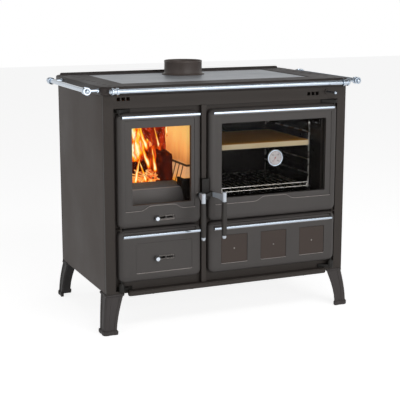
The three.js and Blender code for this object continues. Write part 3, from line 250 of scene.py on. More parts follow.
# %% A finish and its nodes
class Finish:
    """A material with its Principled shader and short ways to add nodes to it."""

    def __init__(self, name, roughness=0.5, metallic=0.0, shine=0.5):
        self.material = bpy.data.materials.new(name)
        self.material.use_nodes = True
        self.tree = self.material.node_tree
        self.shader = self.tree.nodes["Principled BSDF"]
        self.shader.inputs["Roughness"].default_value = roughness
        self.shader.inputs["Metallic"].default_value = metallic
        self.shader.inputs["Specular IOR Level"].default_value = shine
        self.where = self.tree.nodes.new("ShaderNodeTexCoord").outputs["Object"]

    def node(self, kind, **settings):
        made = self.tree.nodes.new("ShaderNode" + kind)
        for key, value in settings.items():
            setattr(made, key, value)
        return made

    def link(self, output, target):
        self.tree.links.new(output, target)

    def stretched(self, scale):
        """Object coordinates, scaled by an amount for each axis."""
        mapping = self.node("Mapping")
        mapping.inputs["Scale"].default_value = scale
        self.link(self.where, mapping.inputs["Vector"])
        return mapping.outputs["Vector"]

    def parts(self, vector):
        """The X, Y and Z of a vector."""
        made = self.node("SeparateXYZ")
        self.link(vector, made.inputs[0])
        return made.outputs

    def noise(self, scale, detail=3.0, rough=0.55, where=None, distortion=0.0):
        made = self.node("TexNoise")
        made.inputs["Scale"].default_value = scale
        made.inputs["Detail"].default_value = detail
        made.inputs["Roughness"].default_value = rough
        made.inputs["Distortion"].default_value = distortion
        self.link(where or self.where, made.inputs["Vector"])
        return made.outputs["Fac"]

    def ramp(self, value, stops):
        """Colours, or greys given as numbers, along a value."""
        made = self.node("ValToRGB")
        band = made.color_ramp
        while len(band.elements) < len(stops):
            band.elements.new(0.5)
        for element, (at, colour) in zip(band.elements, stops):
            element.position = at
            element.color = colour if len(tuple(colour)) == 4 else (*colour, 1)
        self.link(value, made.inputs["Fac"])
        return made.outputs["Color"]

    def greys(self, value, stops):
        return self.ramp(value, [(at, (grey, grey, grey, 1)) for at, grey in stops])

    def math(self, operation, first, second=None, third=None, clamp=False):
        made = self.node("Math", operation=operation, use_clamp=clamp)
        for socket, value in zip(made.inputs, (first, second, third)):
            if isinstance(value, (int, float)):
                socket.default_value = value
            elif value is not None:
                self.link(value, socket)
        return made.outputs["Value"]

    def mix(self, share, first, second, blend="MIX"):
        made = self.node("Mix", data_type="RGBA", blend_type=blend)
        for socket, value in ((made.inputs[0], share), (made.inputs[6], first), (made.inputs[7], second)):
            if isinstance(value, (int, float, tuple)):
                socket.default_value = value
            else:
                self.link(value, socket)
        return made.outputs[2]

    def times(self, first, second):
        return self.mix(1.0, first, second, "MULTIPLY")

    def colour(self, output):
        self.link(output, self.shader.inputs["Base Color"])

    def roughness(self, output):
        self.link(output, self.shader.inputs["Roughness"])

    def glow(self, output, strength):
        self.link(output, self.shader.inputs["Emission Color"])
        self.shader.inputs["Emission Strength"].default_value = strength

    def bump(self, height, strength, distance=0.0003):
        made = self.node("Bump")
        made.inputs["Strength"].default_value = strength
        made.inputs["Distance"].default_value = distance
        self.link(height, made.inputs["Height"])
        self.link(made.outputs["Normal"], self.shader.inputs["Normal"])


def shade(colour, amount):
    """The colour made darker or lighter by a share."""
    return (*(min(1, channel * amount) for channel in colour[:3]), 1)


# %% [markdown]
# ### Enamel and cast iron
#
# The case is sheet steel under satin enamel: broad, faint cloudiness and the fine orange peel of a
# sprayed coat. The doors, the top and the legs are castings. Their coat follows the sand of the
# mould, so the bump is coarser, with small pits, and the roughness is uneven. Edges that face up
# get a painted highlight: brighter colour in place of the light they catch. They could be painted
# by hand, but the shader finds them by itself: it brightens what faces up and lies in front of a given
# plane.


# %% Enamel on sheet steel
def enamel(name, colour, roughness=0.5):
    coat = Finish(name, shine=0.25)
    cloud = coat.noise(3.2, detail=4, rough=0.6)
    speck = coat.noise(900, detail=2)
    clouded = coat.ramp(cloud, [(0.3, shade(colour, 0.92)), (0.7, shade(colour, 1.09))])
    specks = coat.greys(speck, [(0.35, 0.9), (0.62, 1.06)])
    coat.colour(coat.times(clouded, specks))
    coat.roughness(coat.greys(cloud, [(0.3, roughness - 0.04), (0.7, roughness + 0.07)]))
    coat.bump(coat.noise(420, detail=3), 0.12, 0.0002)
    return coat.material


case_enamel = enamel("case_enamel", screen(59, 47, 40))
frame_enamel = enamel("frame_enamel", screen(60, 54, 50))
insert_enamel = enamel("insert_enamel", screen(76, 66, 61), 0.55)
print("enamels made")


# %% Enamel on castings
# Painted highlight: edges that face up and lie in front of these planes in Y are brightened in colour.
DOOR_EDGES = -0.2446  # in Y, a little behind the doors' fronts
RETAINER_EDGE = -0.1488  # in Y, a little behind the log retainer's front


def casting(name, colour, roughness, sand, wear_and_highlight=1.0, plane=DOOR_EDGES):
    """Enamelled iron. Edges that face up in front of the plane get a painted highlight that makes them
    this many times brighter.
    """
    iron = Finish(name, shine=0.4)
    cloud = iron.noise(6, detail=5, rough=0.65)
    grain = iron.noise(700, detail=4, rough=0.7)
    pits = iron.node("TexVoronoi", feature="F1")
    pits.inputs["Scale"].default_value = 520
    iron.link(iron.where, pits.inputs["Vector"])
    pitted = iron.greys(pits.outputs["Distance"], [(0.05, 0.0), (0.25, 1.0)])
    clouded = iron.ramp(cloud, [(0.32, shade(colour, 0.9)), (0.68, shade(colour, 1.1))])
    grains = iron.greys(grain, [(0.35, 0.86), (0.65, 1.08)])
    facing = iron.parts(iron.node("NewGeometry").outputs["True Normal"])
    upward = iron.greys(facing["Z"], [(0.2, 0.0), (0.45, 1.0)])
    in_front = iron.math("LESS_THAN", iron.parts(iron.where)["Y"], plane)
    edge = iron.math("MULTIPLY_ADD", iron.math("MULTIPLY", upward, in_front), wear_and_highlight - 1, 1)
    iron.colour(iron.times(iron.times(clouded, grains), edge))
    iron.roughness(iron.greys(cloud, [(0.3, roughness - 0.05), (0.7, roughness + 0.08)]))
    height = iron.math("ADD", grain, iron.math("MULTIPLY", pitted, 0.5))
    iron.bump(height, sand, 0.00025)
    return iron.material


# The doors' upward-facing front edges carry a strong painted highlight.
door_iron = casting("door_iron", screen(72, 68, 66), 0.46, 0.2, wear_and_highlight=9.0)
top_iron = casting("top_iron", screen(50, 42, 39), 0.5, 0.3)
leg_iron = casting("leg_iron", screen(66, 61, 60), 0.6, 0.4)
fire_iron = casting("fire_iron", screen(74, 69, 66), 0.55, 0.4)
# The retainer's front is a lighter iron, painted light for the lamp light the glass keeps out, and its
# top edge carries a painted highlight.
painted_light_retainer_iron = casting("painted_light_retainer_iron", screen(120, 116, 114), 0.5, 0.3, 3.0, RETAINER_EDGE)
# The shelf's blue tint is painted light: it cancels the fire's orange light, so the shelf renders grey.
firelight_blued_shelf_iron = casting("firelight_blued_shelf_iron", screen(93, 112, 130), 0.7, 0.4)
# The rear legs get a darker copy of the leg iron as painted shade.
shaded_rear_leg_iron = casting("shaded_rear_leg_iron", screen(36, 33, 32), 0.6, 0.3)
flue_iron = casting("flue_iron", screen(84, 74, 69), 0.4, 0.3)
register_iron = casting("register_iron", screen(166, 160, 155), 0.4, 0.3)
print("castings made")

# %% [markdown]
# ### Bright and black metal
#
# The hob is ground steel: fine lines run across it, and heat has left faint clouds. Chrome is a
# nearly perfect mirror with a touch of smudging, so its look comes from what surrounds it. The
# hinge lugs and the keeper are blacked steel. A latch lever and an air slider have two finishes
# each: what stands in front is plated, and the cam or shutter behind it is not, so the finish
# changes at a height in Y.

# %% Hob steel
hob = Finish("hob_steel", metallic=0.85)
lines = hob.noise(1.0, detail=4, rough=0.7, where=hob.stretched((14, 900, 900)))
cloud = hob.noise(7, detail=5, rough=0.6)
mottle = hob.noise(60, detail=4, rough=0.7)
base = hob.ramp(cloud, [(0.3, screen(188, 194, 201)), (0.7, screen(210, 214, 219))])
fine = hob.greys(lines, [(0.3, 0.86), (0.7, 1.08)])
spots = hob.greys(mottle, [(0.35, 0.9), (0.65, 1.05)])
hob.colour(hob.times(hob.times(base, fine), spots))
hob.roughness(hob.greys(mottle, [(0.3, 0.36), (0.7, 0.52)]))
hob.bump(lines, 0.25, 0.0001)
hob_steel = hob.material
print("hob steel made")

# %% Chrome, blacked steel and wire
bright = Finish("chrome", metallic=1.0)
smudge = bright.noise(55, detail=5, rough=0.7)
bright.colour(bright.ramp(smudge, [(0.3, screen(178, 189, 201)), (0.7, screen(188, 198, 209))]))
bright.roughness(bright.greys(smudge, [(0.3, 0.12), (0.7, 0.17)]))
chrome = bright.material

black = Finish("black_steel", shine=0.25)
wear = black.noise(90, detail=5, rough=0.7)
black.colour(black.ramp(wear, [(0.3, screen(18, 17, 15)), (0.72, screen(38, 35, 32))]))
black.roughness(black.greys(wear, [(0.3, 0.34), (0.7, 0.5)]))
black.bump(black.noise(600), 0.2, 0.0002)
black_steel = black.material

wire = Finish("wire_steel", metallic=1.0)
heat = wire.noise(24, detail=3)
wire.colour(wire.ramp(heat, [(0.35, screen(196, 188, 178)), (0.65, screen(226, 224, 220))]))
wire.roughness(wire.greys(heat, [(0.3, 0.2), (0.7, 0.34)]))
wire_steel = wire.material
print("chrome, blacked steel and wire made")

# %% Plated in front, plain behind
ARM_START = -0.2588  # in Y: a latch's arm lies in front, its shaft and cam behind
KNOB_START = -0.2462  # in Y: an air slider's knob lies in front, its shutter behind


def plated_front(name, start, behind, metallic):
    """Bright plating on all that lies in front of a height in Y, and a plain coat behind it."""
    metal = Finish(name, roughness=0.2)
    in_front = metal.math("LESS_THAN", metal.parts(metal.where)["Y"], start)
    wear_and_highlight = metal.noise(60, detail=4, rough=0.7)
    plated = metal.ramp(wear_and_highlight, [(0.3, screen(202, 210, 220)), (0.7, screen(214, 221, 230))])
    plain = metal.ramp(wear_and_highlight, [(0.3, shade(behind, 0.8)), (0.7, shade(behind, 1.2))])
    metal.colour(metal.mix(in_front, plain, plated))
    metal.link(metal.math("MULTIPLY", in_front, metallic), metal.shader.inputs["Metallic"])
    metal.roughness(metal.math("SUBTRACT", 0.45, metal.math("MULTIPLY", in_front, 0.19)))
    return metal.material


latch_metal = plated_front("latch_metal", ARM_START, screen(24, 22, 20), 0.25)
knob_metal = plated_front("knob_metal", KNOB_START, screen(128, 123, 118), 0.9)
print("metals made")

# %% [markdown]
# ### Grips, glass, oven and stone
#
# The grips are pressed black plastic with a soft sheen. The fire door has clear heat-proof glass
# and the oven door smoked glass. Glass could be made with transmission, but a faint film that
# lets most of the light through is enough for a thin flat pane and gives less noise. The
# oven is lined with glossy speckled enamel. The baking stone is pale fired clay with grit in it.
# Its top is browned by baking and darkened further as painted shade.

# %% Grip and glass
grip = Finish("grip_black", shine=0.3)
figure = grip.noise(1.0, detail=4, where=grip.stretched((160, 160, 24)))
grip.colour(grip.ramp(figure, [(0.3, screen(52, 49, 47)), (0.7, screen(66, 63, 60))]))
grip.roughness(grip.greys(figure, [(0.3, 0.42), (0.7, 0.52)]))
grip.bump(grip.noise(500), 0.08, 0.0001)
grip_black = grip.material


def pane(name, colour, cover):
    """Glass that covers this share of what lies behind it with its own dark tint."""
    glass = Finish(name, roughness=0.03, shine=0.3)
    film = glass.noise(9, detail=5, rough=0.6)
    glass.colour(glass.ramp(film, [(0.3, colour), (0.7, shade(colour, 1.3))]))
    glass.link(glass.greys(film, [(0.3, cover), (0.75, cover * 1.25)]), glass.shader.inputs["Alpha"])
    return glass.material


clear_glass = pane("clear_glass", screen(40, 34, 30), 0.05)
smoked_glass = pane("smoked_glass", screen(12, 9, 7), 0.07)
print("grip and glass made")

# %% Oven enamel, stone and dial
oven = Finish("oven_enamel", shine=0.2)
speckle = oven.noise(420, detail=2, rough=0.6)
oven.colour(oven.ramp(speckle, [(0.6, screen(17, 14, 12)), (0.78, screen(48, 42, 38))]))
oven.roughness(oven.greys(oven.noise(14, detail=4), [(0.3, 0.16), (0.7, 0.3)]))
oven.bump(oven.noise(60, detail=3), 0.04, 0.0006)
oven_enamel = oven.material

clay = Finish("stone", roughness=0.85)
grit = clay.noise(620, detail=4, rough=0.7)
broad = clay.noise(11, detail=4)
fired = clay.ramp(broad, [(0.3, screen(240, 214, 166)), (0.7, screen(250, 232, 192))])
gritty = clay.greys(grit, [(0.36, 0.8), (0.56, 1.03)])
# The stone's top skin is darker and browner: partly real browning from baking, partly painted shade.
STONE_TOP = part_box("baking_stone")[1].z
BROWNED_AND_SHADED = 0.0004  # the browned skin is this thick
baked_and_shaded_top = clay.math("GREATER_THAN", clay.parts(clay.where)["Z"], STONE_TOP - BROWNED_AND_SHADED)
raw = clay.times(fired, gritty)
clay.colour(clay.mix(baked_and_shaded_top, raw, clay.times(raw, screen(240, 178, 60))))
clay.bump(grit, 0.5, 0.0004)
stone = clay.material

face = Finish("dial", roughness=0.4)
face.colour(face.ramp(face.noise(70), [(0.3, screen(196, 190, 190)), (0.7, screen(208, 202, 202))]))
dial = face.material
print("oven finishes made")

# %% [markdown]
# The firebricks are rough, pored clay, and they stand round a fire, so they also carry its warm
# light. Real flames light the bricks in a render only with much noise, so the bricks glow a little
# by themselves: most at the top, least just over the low course, and orange again at the embers.
# Soot lies in the joints of the low course and in the seam above it.

# %% Firebrick
JOINT = 0.0058
COURSE = (0.497, 0.558)  # the low course's bottom and top
SOOT_REACH = 0.75  # how far soot lies to both sides of a joint's middle, in joints
SEAM_REACH = 0.7  # and of the seam's middle
SOOT = 0.92  # how much darker it is there
FIRST_FACE = 0.3  # the first brick's end shows its face, so it stays clean, in bricks


def fired_brick(name, along, start, pitch):
    """Firebrick whose low course, laid along axis 0 or 1 from start, has soot in its joints."""
    brick = Finish(name, roughness=0.9)
    pores = brick.noise(480, detail=4, rough=0.75)
    streaks = brick.noise(1.0, detail=4, where=brick.stretched((38, 38, 7)))
    spot = brick.parts(brick.where)
    height = spot["Z"]
    from_start = brick.math("SUBTRACT", spot["XY"[along]], start - JOINT / 2)
    bricks_on = brick.math("DIVIDE", from_start, pitch)
    off_middle = brick.math("SUBTRACT", brick.math("FRACT", bricks_on), 0.5)
    off_middle = brick.math("ABSOLUTE", off_middle)
    joint = brick.math("GREATER_THAN", off_middle, 0.5 - SOOT_REACH * JOINT / pitch)
    joint = brick.math("MULTIPLY", joint, brick.math("LESS_THAN", height, COURSE[1]))
    joint = brick.math("MULTIPLY", joint, brick.math("GREATER_THAN", bricks_on, FIRST_FACE))
    off_seam = brick.math("ABSOLUTE", brick.math("SUBTRACT", height, COURSE[1] + JOINT / 2))
    seam = brick.math("LESS_THAN", off_seam, JOINT * SEAM_REACH)
    sooty = brick.math("ADD", joint, seam, clamp=True)
    clean = brick.math("SUBTRACT", 1.0, brick.math("MULTIPLY", sooty, SOOT))
    clayed = brick.ramp(streaks, [(0.3, screen(196, 140, 88)), (0.7, screen(226, 172, 112))])
    clayed = brick.times(clayed, brick.greys(pores, [(0.34, 0.72), (0.5, 1.0)]))
    brick.colour(brick.times(clayed, clean))
    up = brick.math("ADD", height, brick.math("MULTIPLY", streaks, 0.06))
    glow = brick.ramp(
        up,
        [
            (0.53, screen(240, 150, 40)), (0.55, screen(222, 164, 110)),
            (0.585, screen(210, 158, 112)), (0.6, screen(196, 122, 60)),
            (0.65, screen(250, 172, 92)), (0.7, screen(255, 200, 112)),
        ],
    )
    brick.glow(brick.times(glow, clean), 0.85)
    brick.bump(pores, 0.5, 0.0006)
    return brick.material


soot = Finish("soot_and_shade_iron", roughness=0.8, shine=0.2)
soot.colour(soot.ramp(soot.noise(40, detail=5), [(0.3, screen(14, 11, 9)), (0.7, screen(34, 27, 23))]))
soot.bump(soot.noise(300), 0.3, 0.0004)
soot_and_shade_iron = soot.material
print("soot made")

# %% [markdown]
# ## Dressing the CAD nodes
#
# The solids are exact but razor-sharp. Real sheet and castings have small radii that catch the
# light, so each node gets live modifiers: its loose triangles are welded, flat areas become single
# faces, and the sharp edges are rounded. Weighted normals keep the flats flat.

# %% Finishes by slot
finish_of_slot = {
    "case_enamel": case_enamel, "frame_enamel": frame_enamel, "door_iron": door_iron,
    "top_iron": top_iron, "leg_iron": leg_iron, "fire_iron": fire_iron, "hob_steel": hob_steel,
    "chrome": chrome, "black_steel": black_steel, "grip_black": grip_black,
    "glass": smoked_glass, "firebrick": soot_and_shade_iron, "oven_enamel": oven_enamel,
    "wire_steel": wire_steel, "stone": stone, "dial": dial,
}
finish_of_node = {
    "fire_door_glass": clear_glass,
    "fire_air_slider": knob_metal,
    "ash_air_slider": knob_metal,
    "fire_handle_lever": latch_metal,
    "oven_handle_lever": latch_metal,
    "leg_rear_left": shaded_rear_leg_iron,
    "leg_rear_right": shaded_rear_leg_iron,
    "storage_insert_1": insert_enamel,
    "storage_insert_2": insert_enamel,
    "storage_insert_3": insert_enamel,
}
for name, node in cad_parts.items():
    slot_name = node.data.materials[0].name.split(".")[0]
    node.data.materials[0] = finish_of_node.get(name) or finish_of_slot[slot_name]
print(len(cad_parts), "nodes painted")


# %% Softened edges
def soften(node, width, clamp=True):
    """Gives a CAD node rounded edges and even shading, without touching its mesh's points."""
    node.data.polygons.foreach_set("use_smooth", [True] * len(node.data.polygons))
    weld = node.modifiers.new("weld", "WELD")
    weld.merge_threshold = 0.00001
    flats = node.modifiers.new("flats", "DECIMATE")
    flats.decimate_type = "DISSOLVE"
    flats.angle_limit = math.radians(0.6)
    if width:
        edges = node.modifiers.new("edges", "BEVEL")
        edges.width = width
        edges.segments = 2
        edges.limit_method = "ANGLE"
        edges.angle_limit = math.radians(32)
        edges.use_clamp_overlap = clamp
    normals = node.modifiers.new("normals", "WEIGHTED_NORMAL")
    normals.keep_sharp = False
    normals.weight = 60


edge_width = {
    "leg": 0.0012, "front_frame": 0.0006, "base_plate": 0.0006, "base_moulding": 0.0012,
    "side_panel": 0.0012, "back_panel": 0.0008, "top_frame": 0.0012, "hob_plate": 0.0006,
    "rail_bracket": 0.0005, "hinge_lug": 0.0006, "latch_keeper": 0.001, "firebox": 0.0008,
    "fire_grate": 0.001, "oven_box": 0.0008, "rack_runner": 0,
    "fire_door_frame": 0.0013, "oven_door_frame": 0.0013, "ash_door_panel": 0.0012,
    "storage_door_frame": 0.0012, "_trim": 0.0008, "_lever": 0.0006, "slider": 0.0005,
    "storage_insert": 0.0004, "ash_pan": 0.0006, "oven_rack": 0, "baking_stone": 0.0014,
    "glass": 0.0003,
}
for name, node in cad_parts.items():
    widths = [width for part, width in edge_width.items() if part in name]
    if widths:
        soften(node, widths[-1], clamp=not name.endswith(("_frame", "_panel")))
print("edges softened")

# %% [markdown]
# ## The chrome rails
#
# Each rail is a long polished tube with a domed cap and a little collar at both ends. It could be
# a cylinder with rounded edges, but the collar would be missing. So it is turned upright as one
# disc drawn through its profile, and is then laid down where the CAD rail lies.

# %% Rails
RAIL = 0.008  # a tube's radius
DOME = [(0.0012, 0), (0.0046, 0.0008), (0.0068, 0.0024), (0.0078, 0.0044)]
COLLAR = [
    (RAIL, 0.006), (RAIL, 0.0085), (0.0092, 0.0092), (0.0094, 0.0108), (0.0092, 0.0124),
    (RAIL, 0.0131),
]


def rail(node, turn):
    """A tube as long as the CAD rail, laid where that lies."""
    low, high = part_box(node)
    length = max(high - low)
    end = DOME + COLLAR
    other_end = [(radius, length - height) for radius, height in reversed(end)]
    piece = turned(end + other_end, 64)
    place(piece, (0, 0, -length / 2))
    place(piece, (low + high) / 2, turn)
    complete(piece, node + "_tube", "stove", chrome, smooth=40)
    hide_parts(node)


rail("front_rail", (0, 90, 0))
rail("side_rail_left", (90, 0, 0))
rail("side_rail_right", (90, 0, 0))

# %% [markdown]
# ## The flue spigot
#
# A cast ring stands on the hob round the flue's hole: a flange, a small fillet, a straight wall
# and a rolled lip, open through the middle. A tube with a thickness would have neither fillet nor
# lip. So a disc is drawn up the wall and over the lip, its two end faces are deleted, and the open
# edges are bridged to make the bore.

# %% Spigot
low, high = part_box("flue_collar")
middle = (low + high) / 2
top, foot = high.z, low.z
spigot = turned(
    [
        (0.067, foot), (0.0805, foot), (0.0815, foot + 0.0012), (0.0811, foot + 0.0026),
        (0.0745, foot + 0.0036), (0.0722, foot + 0.0062), (0.0715, foot + 0.011),
        (0.0713, top - 0.0072), (0.072, top - 0.006), (0.072, top - 0.0016), (0.0712, top - 0.0004),
        (0.0700, top), (0.0682, top - 0.0006), (0.067, top - 0.003),
    ],
    128,
)
edit(spigot)
choose(spigot, lambda face: len(face.verts) > 4)
bpy.ops.mesh.delete(type="FACE")
bpy.ops.mesh.select_mode(type="EDGE")
bpy.ops.mesh.select_all(action="DESELECT")
bpy.ops.mesh.select_non_manifold()
bpy.ops.mesh.bridge_edge_loops()
place(spigot, (middle.x, middle.y, 0))
complete(spigot, "flue_spigot", "stove", flue_iron, smooth=50)
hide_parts("flue_collar")

# %% [markdown]
# ## The handles' grips
#
# A grip is a slim black barrel, a little fuller about its middle and rounded over at its ends.
# Its outline is given as shares of the CAD grip's radius and length, so it fits that grip.

# %% Grips
GRIP_SHAPE = [
    (0.6, 0.0), (0.84, 0.001), (0.9, 0.012), (0.92, 0.05), (0.96, 0.25), (1.0, 0.45), (1.0, 0.55),
    (0.96, 0.75), (0.92, 0.95), (0.9, 0.988), (0.84, 0.999), (0.6, 1.0),
]
for handle in ("fire_handle", "oven_handle"):
    low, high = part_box(handle + "_grip")
    middle, length, full = (low + high) / 2, high.z - low.z, (high.x - low.x) / 2
    barrel = turned([(full * share, low.z + length * rise) for share, rise in GRIP_SHAPE], 48)
    place(barrel, (middle.x, middle.y, 0))
    complete(barrel, handle + "_grip_barrel", handle, grip_black, smooth=60)
    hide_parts(handle + "_grip")

# %% [markdown]
# ## The damper's rod and ball
#
# The rod slides through the header and ends in a small polished ball. A sphere joined to a
# cylinder would leave a seam, so rod and ball are one turned piece, laid along Y. Inside, the rod
# carries a thin black plate.

# %% Damper
low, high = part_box("damper_rod")
BALL, ROD = 0.0055, 0.003  # radii
PLATE_LENGTH, PLATE_HALF = 0.09, 0.002
BALL_STEPS, STEP_ANGLE = 9, 16.3  # the ball's outline, from its front to where the rod leaves it
shape = []
for step in range(1, BALL_STEPS + 1):
    angle = math.radians(STEP_ANGLE * step)
    shape.append((BALL * math.sin(angle), BALL - BALL * math.cos(angle)))
rod = turned(shape + [(ROD, BALL * 2.4), (ROD, high.y - low.y)], 40)
middle_z = (low.z + high.z) / 2
place(rod, ((low.x + high.x) / 2, low.y, middle_z), LAID_BACK)
complete(rod, "damper_rod_and_ball", "damper", chrome, smooth=40)
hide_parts("damper_rod")

plate = block(
    (low.x, high.y - PLATE_LENGTH, middle_z - PLATE_HALF), (high.x, high.y, middle_z + PLATE_HALF)
)
round_edges(plate, 0.0006)
complete(plate, "damper_plate", "damper", black_steel)

# %% [markdown]
# ## The registers' ribs
#
# Each air register is a sunk track. Two rows of fine ribs stand in it, above and below the slot of
# the knob. A bump could draw them, but they would cast no shadow. So one rib is modelled, and an
# array modifier repeats it along the track and once downwards.

# %% Register ribs
RIB_WIDTH, RIB_HEIGHT, RIB_DEPTH, RIB_PITCH = 0.0015, 0.0030, 0.0018, 0.0027
RIB_SUNK = 0.0001  # into the track's floor
RIBS, ROWS, ROW_GAP = 21, 2, 0.0090
FIRST_RIB = 0.0185  # from the air slider's left end
TRACK_FLOOR = {"fire": -0.24325, "ash": -0.24125}  # in Y
for door, track_floor in TRACK_FLOOR.items():
    low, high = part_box(door + "_air_slider")
    start, height = low.x + FIRST_RIB, (low.z + high.z) / 2 + ROW_GAP / 2
    rib = block(
        (start, track_floor - RIB_DEPTH, height),
        (start + RIB_WIDTH, track_floor + RIB_SUNK, height + RIB_HEIGHT),
    )
    round_edges(rib, 0.0003)
    repeat(rib, RIBS, (RIB_PITCH, 0, 0))
    repeat(rib, ROWS, (0, 0, -ROW_GAP - RIB_HEIGHT))
    complete(rib, door + "_register_ribs", door + "_door", register_iron)

# %% [markdown]
# ## The oven thermometer
#
# A white dial in a bright bezel sits in the oven door's glass. The scale could be a picture on
# the dial, but small solid marks stay sharp from near by. The case is turned, the marks are small
# blocks set round the dial, and the numerals are text made into a mesh.

# %% Thermometer case and face
low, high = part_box("oven_thermometer")
dial_x, dial_z, dial_y = (low.x + high.x) / 2, (low.z + high.z) / 2, low.y
DIAL = (high.x - low.x) / 2
bezel = turned(
    [
        (0.004, 0.036), (0.004, 0.008), (0.024, 0.008), (DIAL - 0.001, 0.0072), (DIAL, 0.006),
        (DIAL, 0.0016), (DIAL - 0.0008, 0.0004), (DIAL - 0.002, 0.0), (DIAL - 0.0034, 0.0004),
        (DIAL - 0.0042, 0.0018), (DIAL - 0.0046, 0.003), (0.02, 0.003), (0.0005, 0.003),
    ],
    96,
)
place(bezel, (dial_x, dial_y, dial_z), LAID_BACK)
complete(bezel, "thermometer_case", "oven_door", chrome, smooth=40)
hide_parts("oven_thermometer")

plate = turned([(DIAL - 0.0048, 0.0022), (DIAL - 0.0048, 0.0028)], 96)
place(plate, (dial_x, dial_y, dial_z), LAID_BACK)
complete(plate, "thermometer_face", "oven_door", dial, smooth=30)

# %% Marks and numerals
ink = Finish("dial_ink", roughness=0.5)
ink.colour(ink.ramp(ink.noise(200), [(0.3, screen(30, 28, 28)), (0.7, screen(52, 48, 48))]))
red = Finish("needle_red", roughness=0.4)
red.colour(red.ramp(red.noise(200), [(0.3, screen(150, 34, 26)), (0.7, screen(176, 52, 40))]))

MARKS, SWEEP = 31, 270
MARK_RING, NUMERAL_RING = 0.0236, 0.0152  # to the marks' outer ends and the numerals' middles
LONG_MARK, SHORT_MARK = (0.0004, 0.0038), (0.0002, 0.0022)  # half a width, and a length


def bearing(step):
    """A mark's angle from straight up, in degrees."""
    return -SWEEP / 2 + SWEEP * step / (MARKS - 1)


marks = []
for step in range(MARKS):
    half, length = LONG_MARK if step % 5 == 0 else SHORT_MARK
    mark = block((-half, 0, MARK_RING - length), (half, 0.0004, MARK_RING))
    place(mark, (0, 0, 0), (0, bearing(step), 0))
    marks.append(mark)
for step in range(0, MARKS, 10):
    angle = math.radians(bearing(step))
    let_go()
    bpy.ops.object.text_add()
    words = bpy.context.object
    words.data.body = str(step * 10)
    words.data.size = 0.0058
    words.data.align_x, words.data.align_y = "CENTER", "CENTER"
    words.data.extrude = 0.0001
    bpy.ops.object.convert(target="MESH")
    at = (NUMERAL_RING * math.sin(angle), 0.0002, NUMERAL_RING * math.cos(angle))
    place(words, at, (90, 0, 0))
    marks.append(words)
scale = join(marks)
place(scale, (dial_x, dial_y + 0.0017, dial_z))
complete(scale, "thermometer_scale", "oven_door", ink.material, smooth=20)

# %% [markdown]
# The needle is a strip that narrows to a third of a millimetre at its tip, on a small boss. It is
# made pointing up, where its tip is easy to choose, and is then turned to the scale's low end.

# %% Needle
NEEDLE_TURN = -148
needle = block((-0.0006, 0, -0.006), (0.0006, 0.0005, 0.0175))
edit(needle)
choose(needle, lambda face: face.normal.z > 0.9)
bpy.ops.transform.resize(value=(0.25, 1, 1))
boss = turned([(0.0005, 0), (0.0016, 0.0002), (0.0024, 0.0009), (0.0024, 0.0013)], 32)
place(boss, (0, -0.0004, 0), LAID_BACK)
needle = join([needle, boss])
place(needle, (dial_x, dial_y + 0.0012, dial_z), (0, NEEDLE_TURN, 0))
complete(needle, "thermometer_needle", "oven_door", red.material, smooth=30)

# %% [markdown]
# ## Screws of the storage door's plates
#
# Each square plate is held by one small round-headed screw in its middle. A ball cut in half
# would do from afar, but a turned head has the shallow socket in its middle as well.

# %% Screws
SCREW = [
    (0.003, 0.0), (0.003, -0.0006), (0.0026, -0.0014), (0.0016, -0.002), (0.0012, -0.0021),
    (0.0011, -0.0012),
]
for number in (1, 2, 3):
    low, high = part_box(f"storage_insert_{number}")
    screw = turned(SCREW, 24)
    place(screw, ((low.x + high.x) / 2, low.y, (low.z + high.z) / 2), LAID_BACK)
    complete(screw, f"insert_screw_{number}", "storage_door", register_iron)

# %% [markdown]
# ## The firebricks
#
# Three walls line the fire. Each has a tall smooth brick above and a lower course of narrow upright
# bricks, which lean in and have open joints between them. Grooves drawn by a bump would look flat
# beside a fire, so one narrow brick is modelled and repeated along the wall. Dark mortar closes
# the joints from behind, and a sooted foot runs below the course.

# %% Bricks
LEAN_IN = 0.016  # the narrow bricks' feet stand this far out from the wall
BRICK_EDGE = 0.002  # how far the bricks' edges are worn round
MORTAR = 0.008  # the depth of the mortar behind the joints


def mortar_behind(node, low, high, inwards):
    """A flat slab at the back of the wall, from the low course's foot to the top."""
    low, high = low.copy(), high.copy()
    low.z = COURSE[0]
    for axis, part in enumerate(inwards):
        if part > 0:
            high[axis] = low[axis] + MORTAR
        elif part < 0:
            low[axis] = high[axis] - MORTAR
    complete(block(low, high), node + "_mortar", "stove", soot_and_shade_iron)


def foot_below(node, low, high, lean):
    """The sooted iron under the low course, whose top leans in to meet it."""
    high = high.copy()
    high.z = COURSE[0] - JOINT
    foot = block(low, high)
    push_faces(foot, lambda face: face.normal.z > 0.9, lean)
    round_edges(foot, 0.0015)
    complete(foot, node + "_foot", "stove", soot_and_shade_iron)


def brick_wall(node, along, inwards, bricks):
    """Tall bricks over a leaning low course. Along is 0 for X or 1 for Y."""
    low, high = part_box(node)
    lean = [LEAN_IN * part for part in inwards]
    tall_low = low.copy()
    tall_low.z = COURSE[1] + JOINT
    tall = block(tall_low, high)
    round_edges(tall, BRICK_EDGE)

    pitch = (high[along] - low[along]) / bricks
    narrow_low, narrow_high = low.copy(), high.copy()
    narrow_low.z, narrow_high.z = COURSE
    narrow_high[along] = low[along] + pitch - JOINT
    narrow = block(narrow_low, narrow_high)
    push_faces(narrow, lambda face: face.normal.z < -0.9, lean)
    round_edges(narrow, BRICK_EDGE)
    step = [0, 0, 0]
    step[along] = pitch
    repeat(narrow, bricks, step)

    mortar_behind(node, low, high, inwards)
    wall = join([tall, narrow])
    finish = fired_brick(node + "_clay", along, low[along], pitch)
    complete(wall, node + "_courses", "stove", finish, smooth=35)
    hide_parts(node)
    foot_below(node, low, high, lean)


brick_wall("firebrick_left", 1, (1, 0, 0), 11)
brick_wall("firebrick_right", 1, (-1, 0, 0), 11)
brick_wall("firebrick_back", 0, (0, -1, 0), 7)
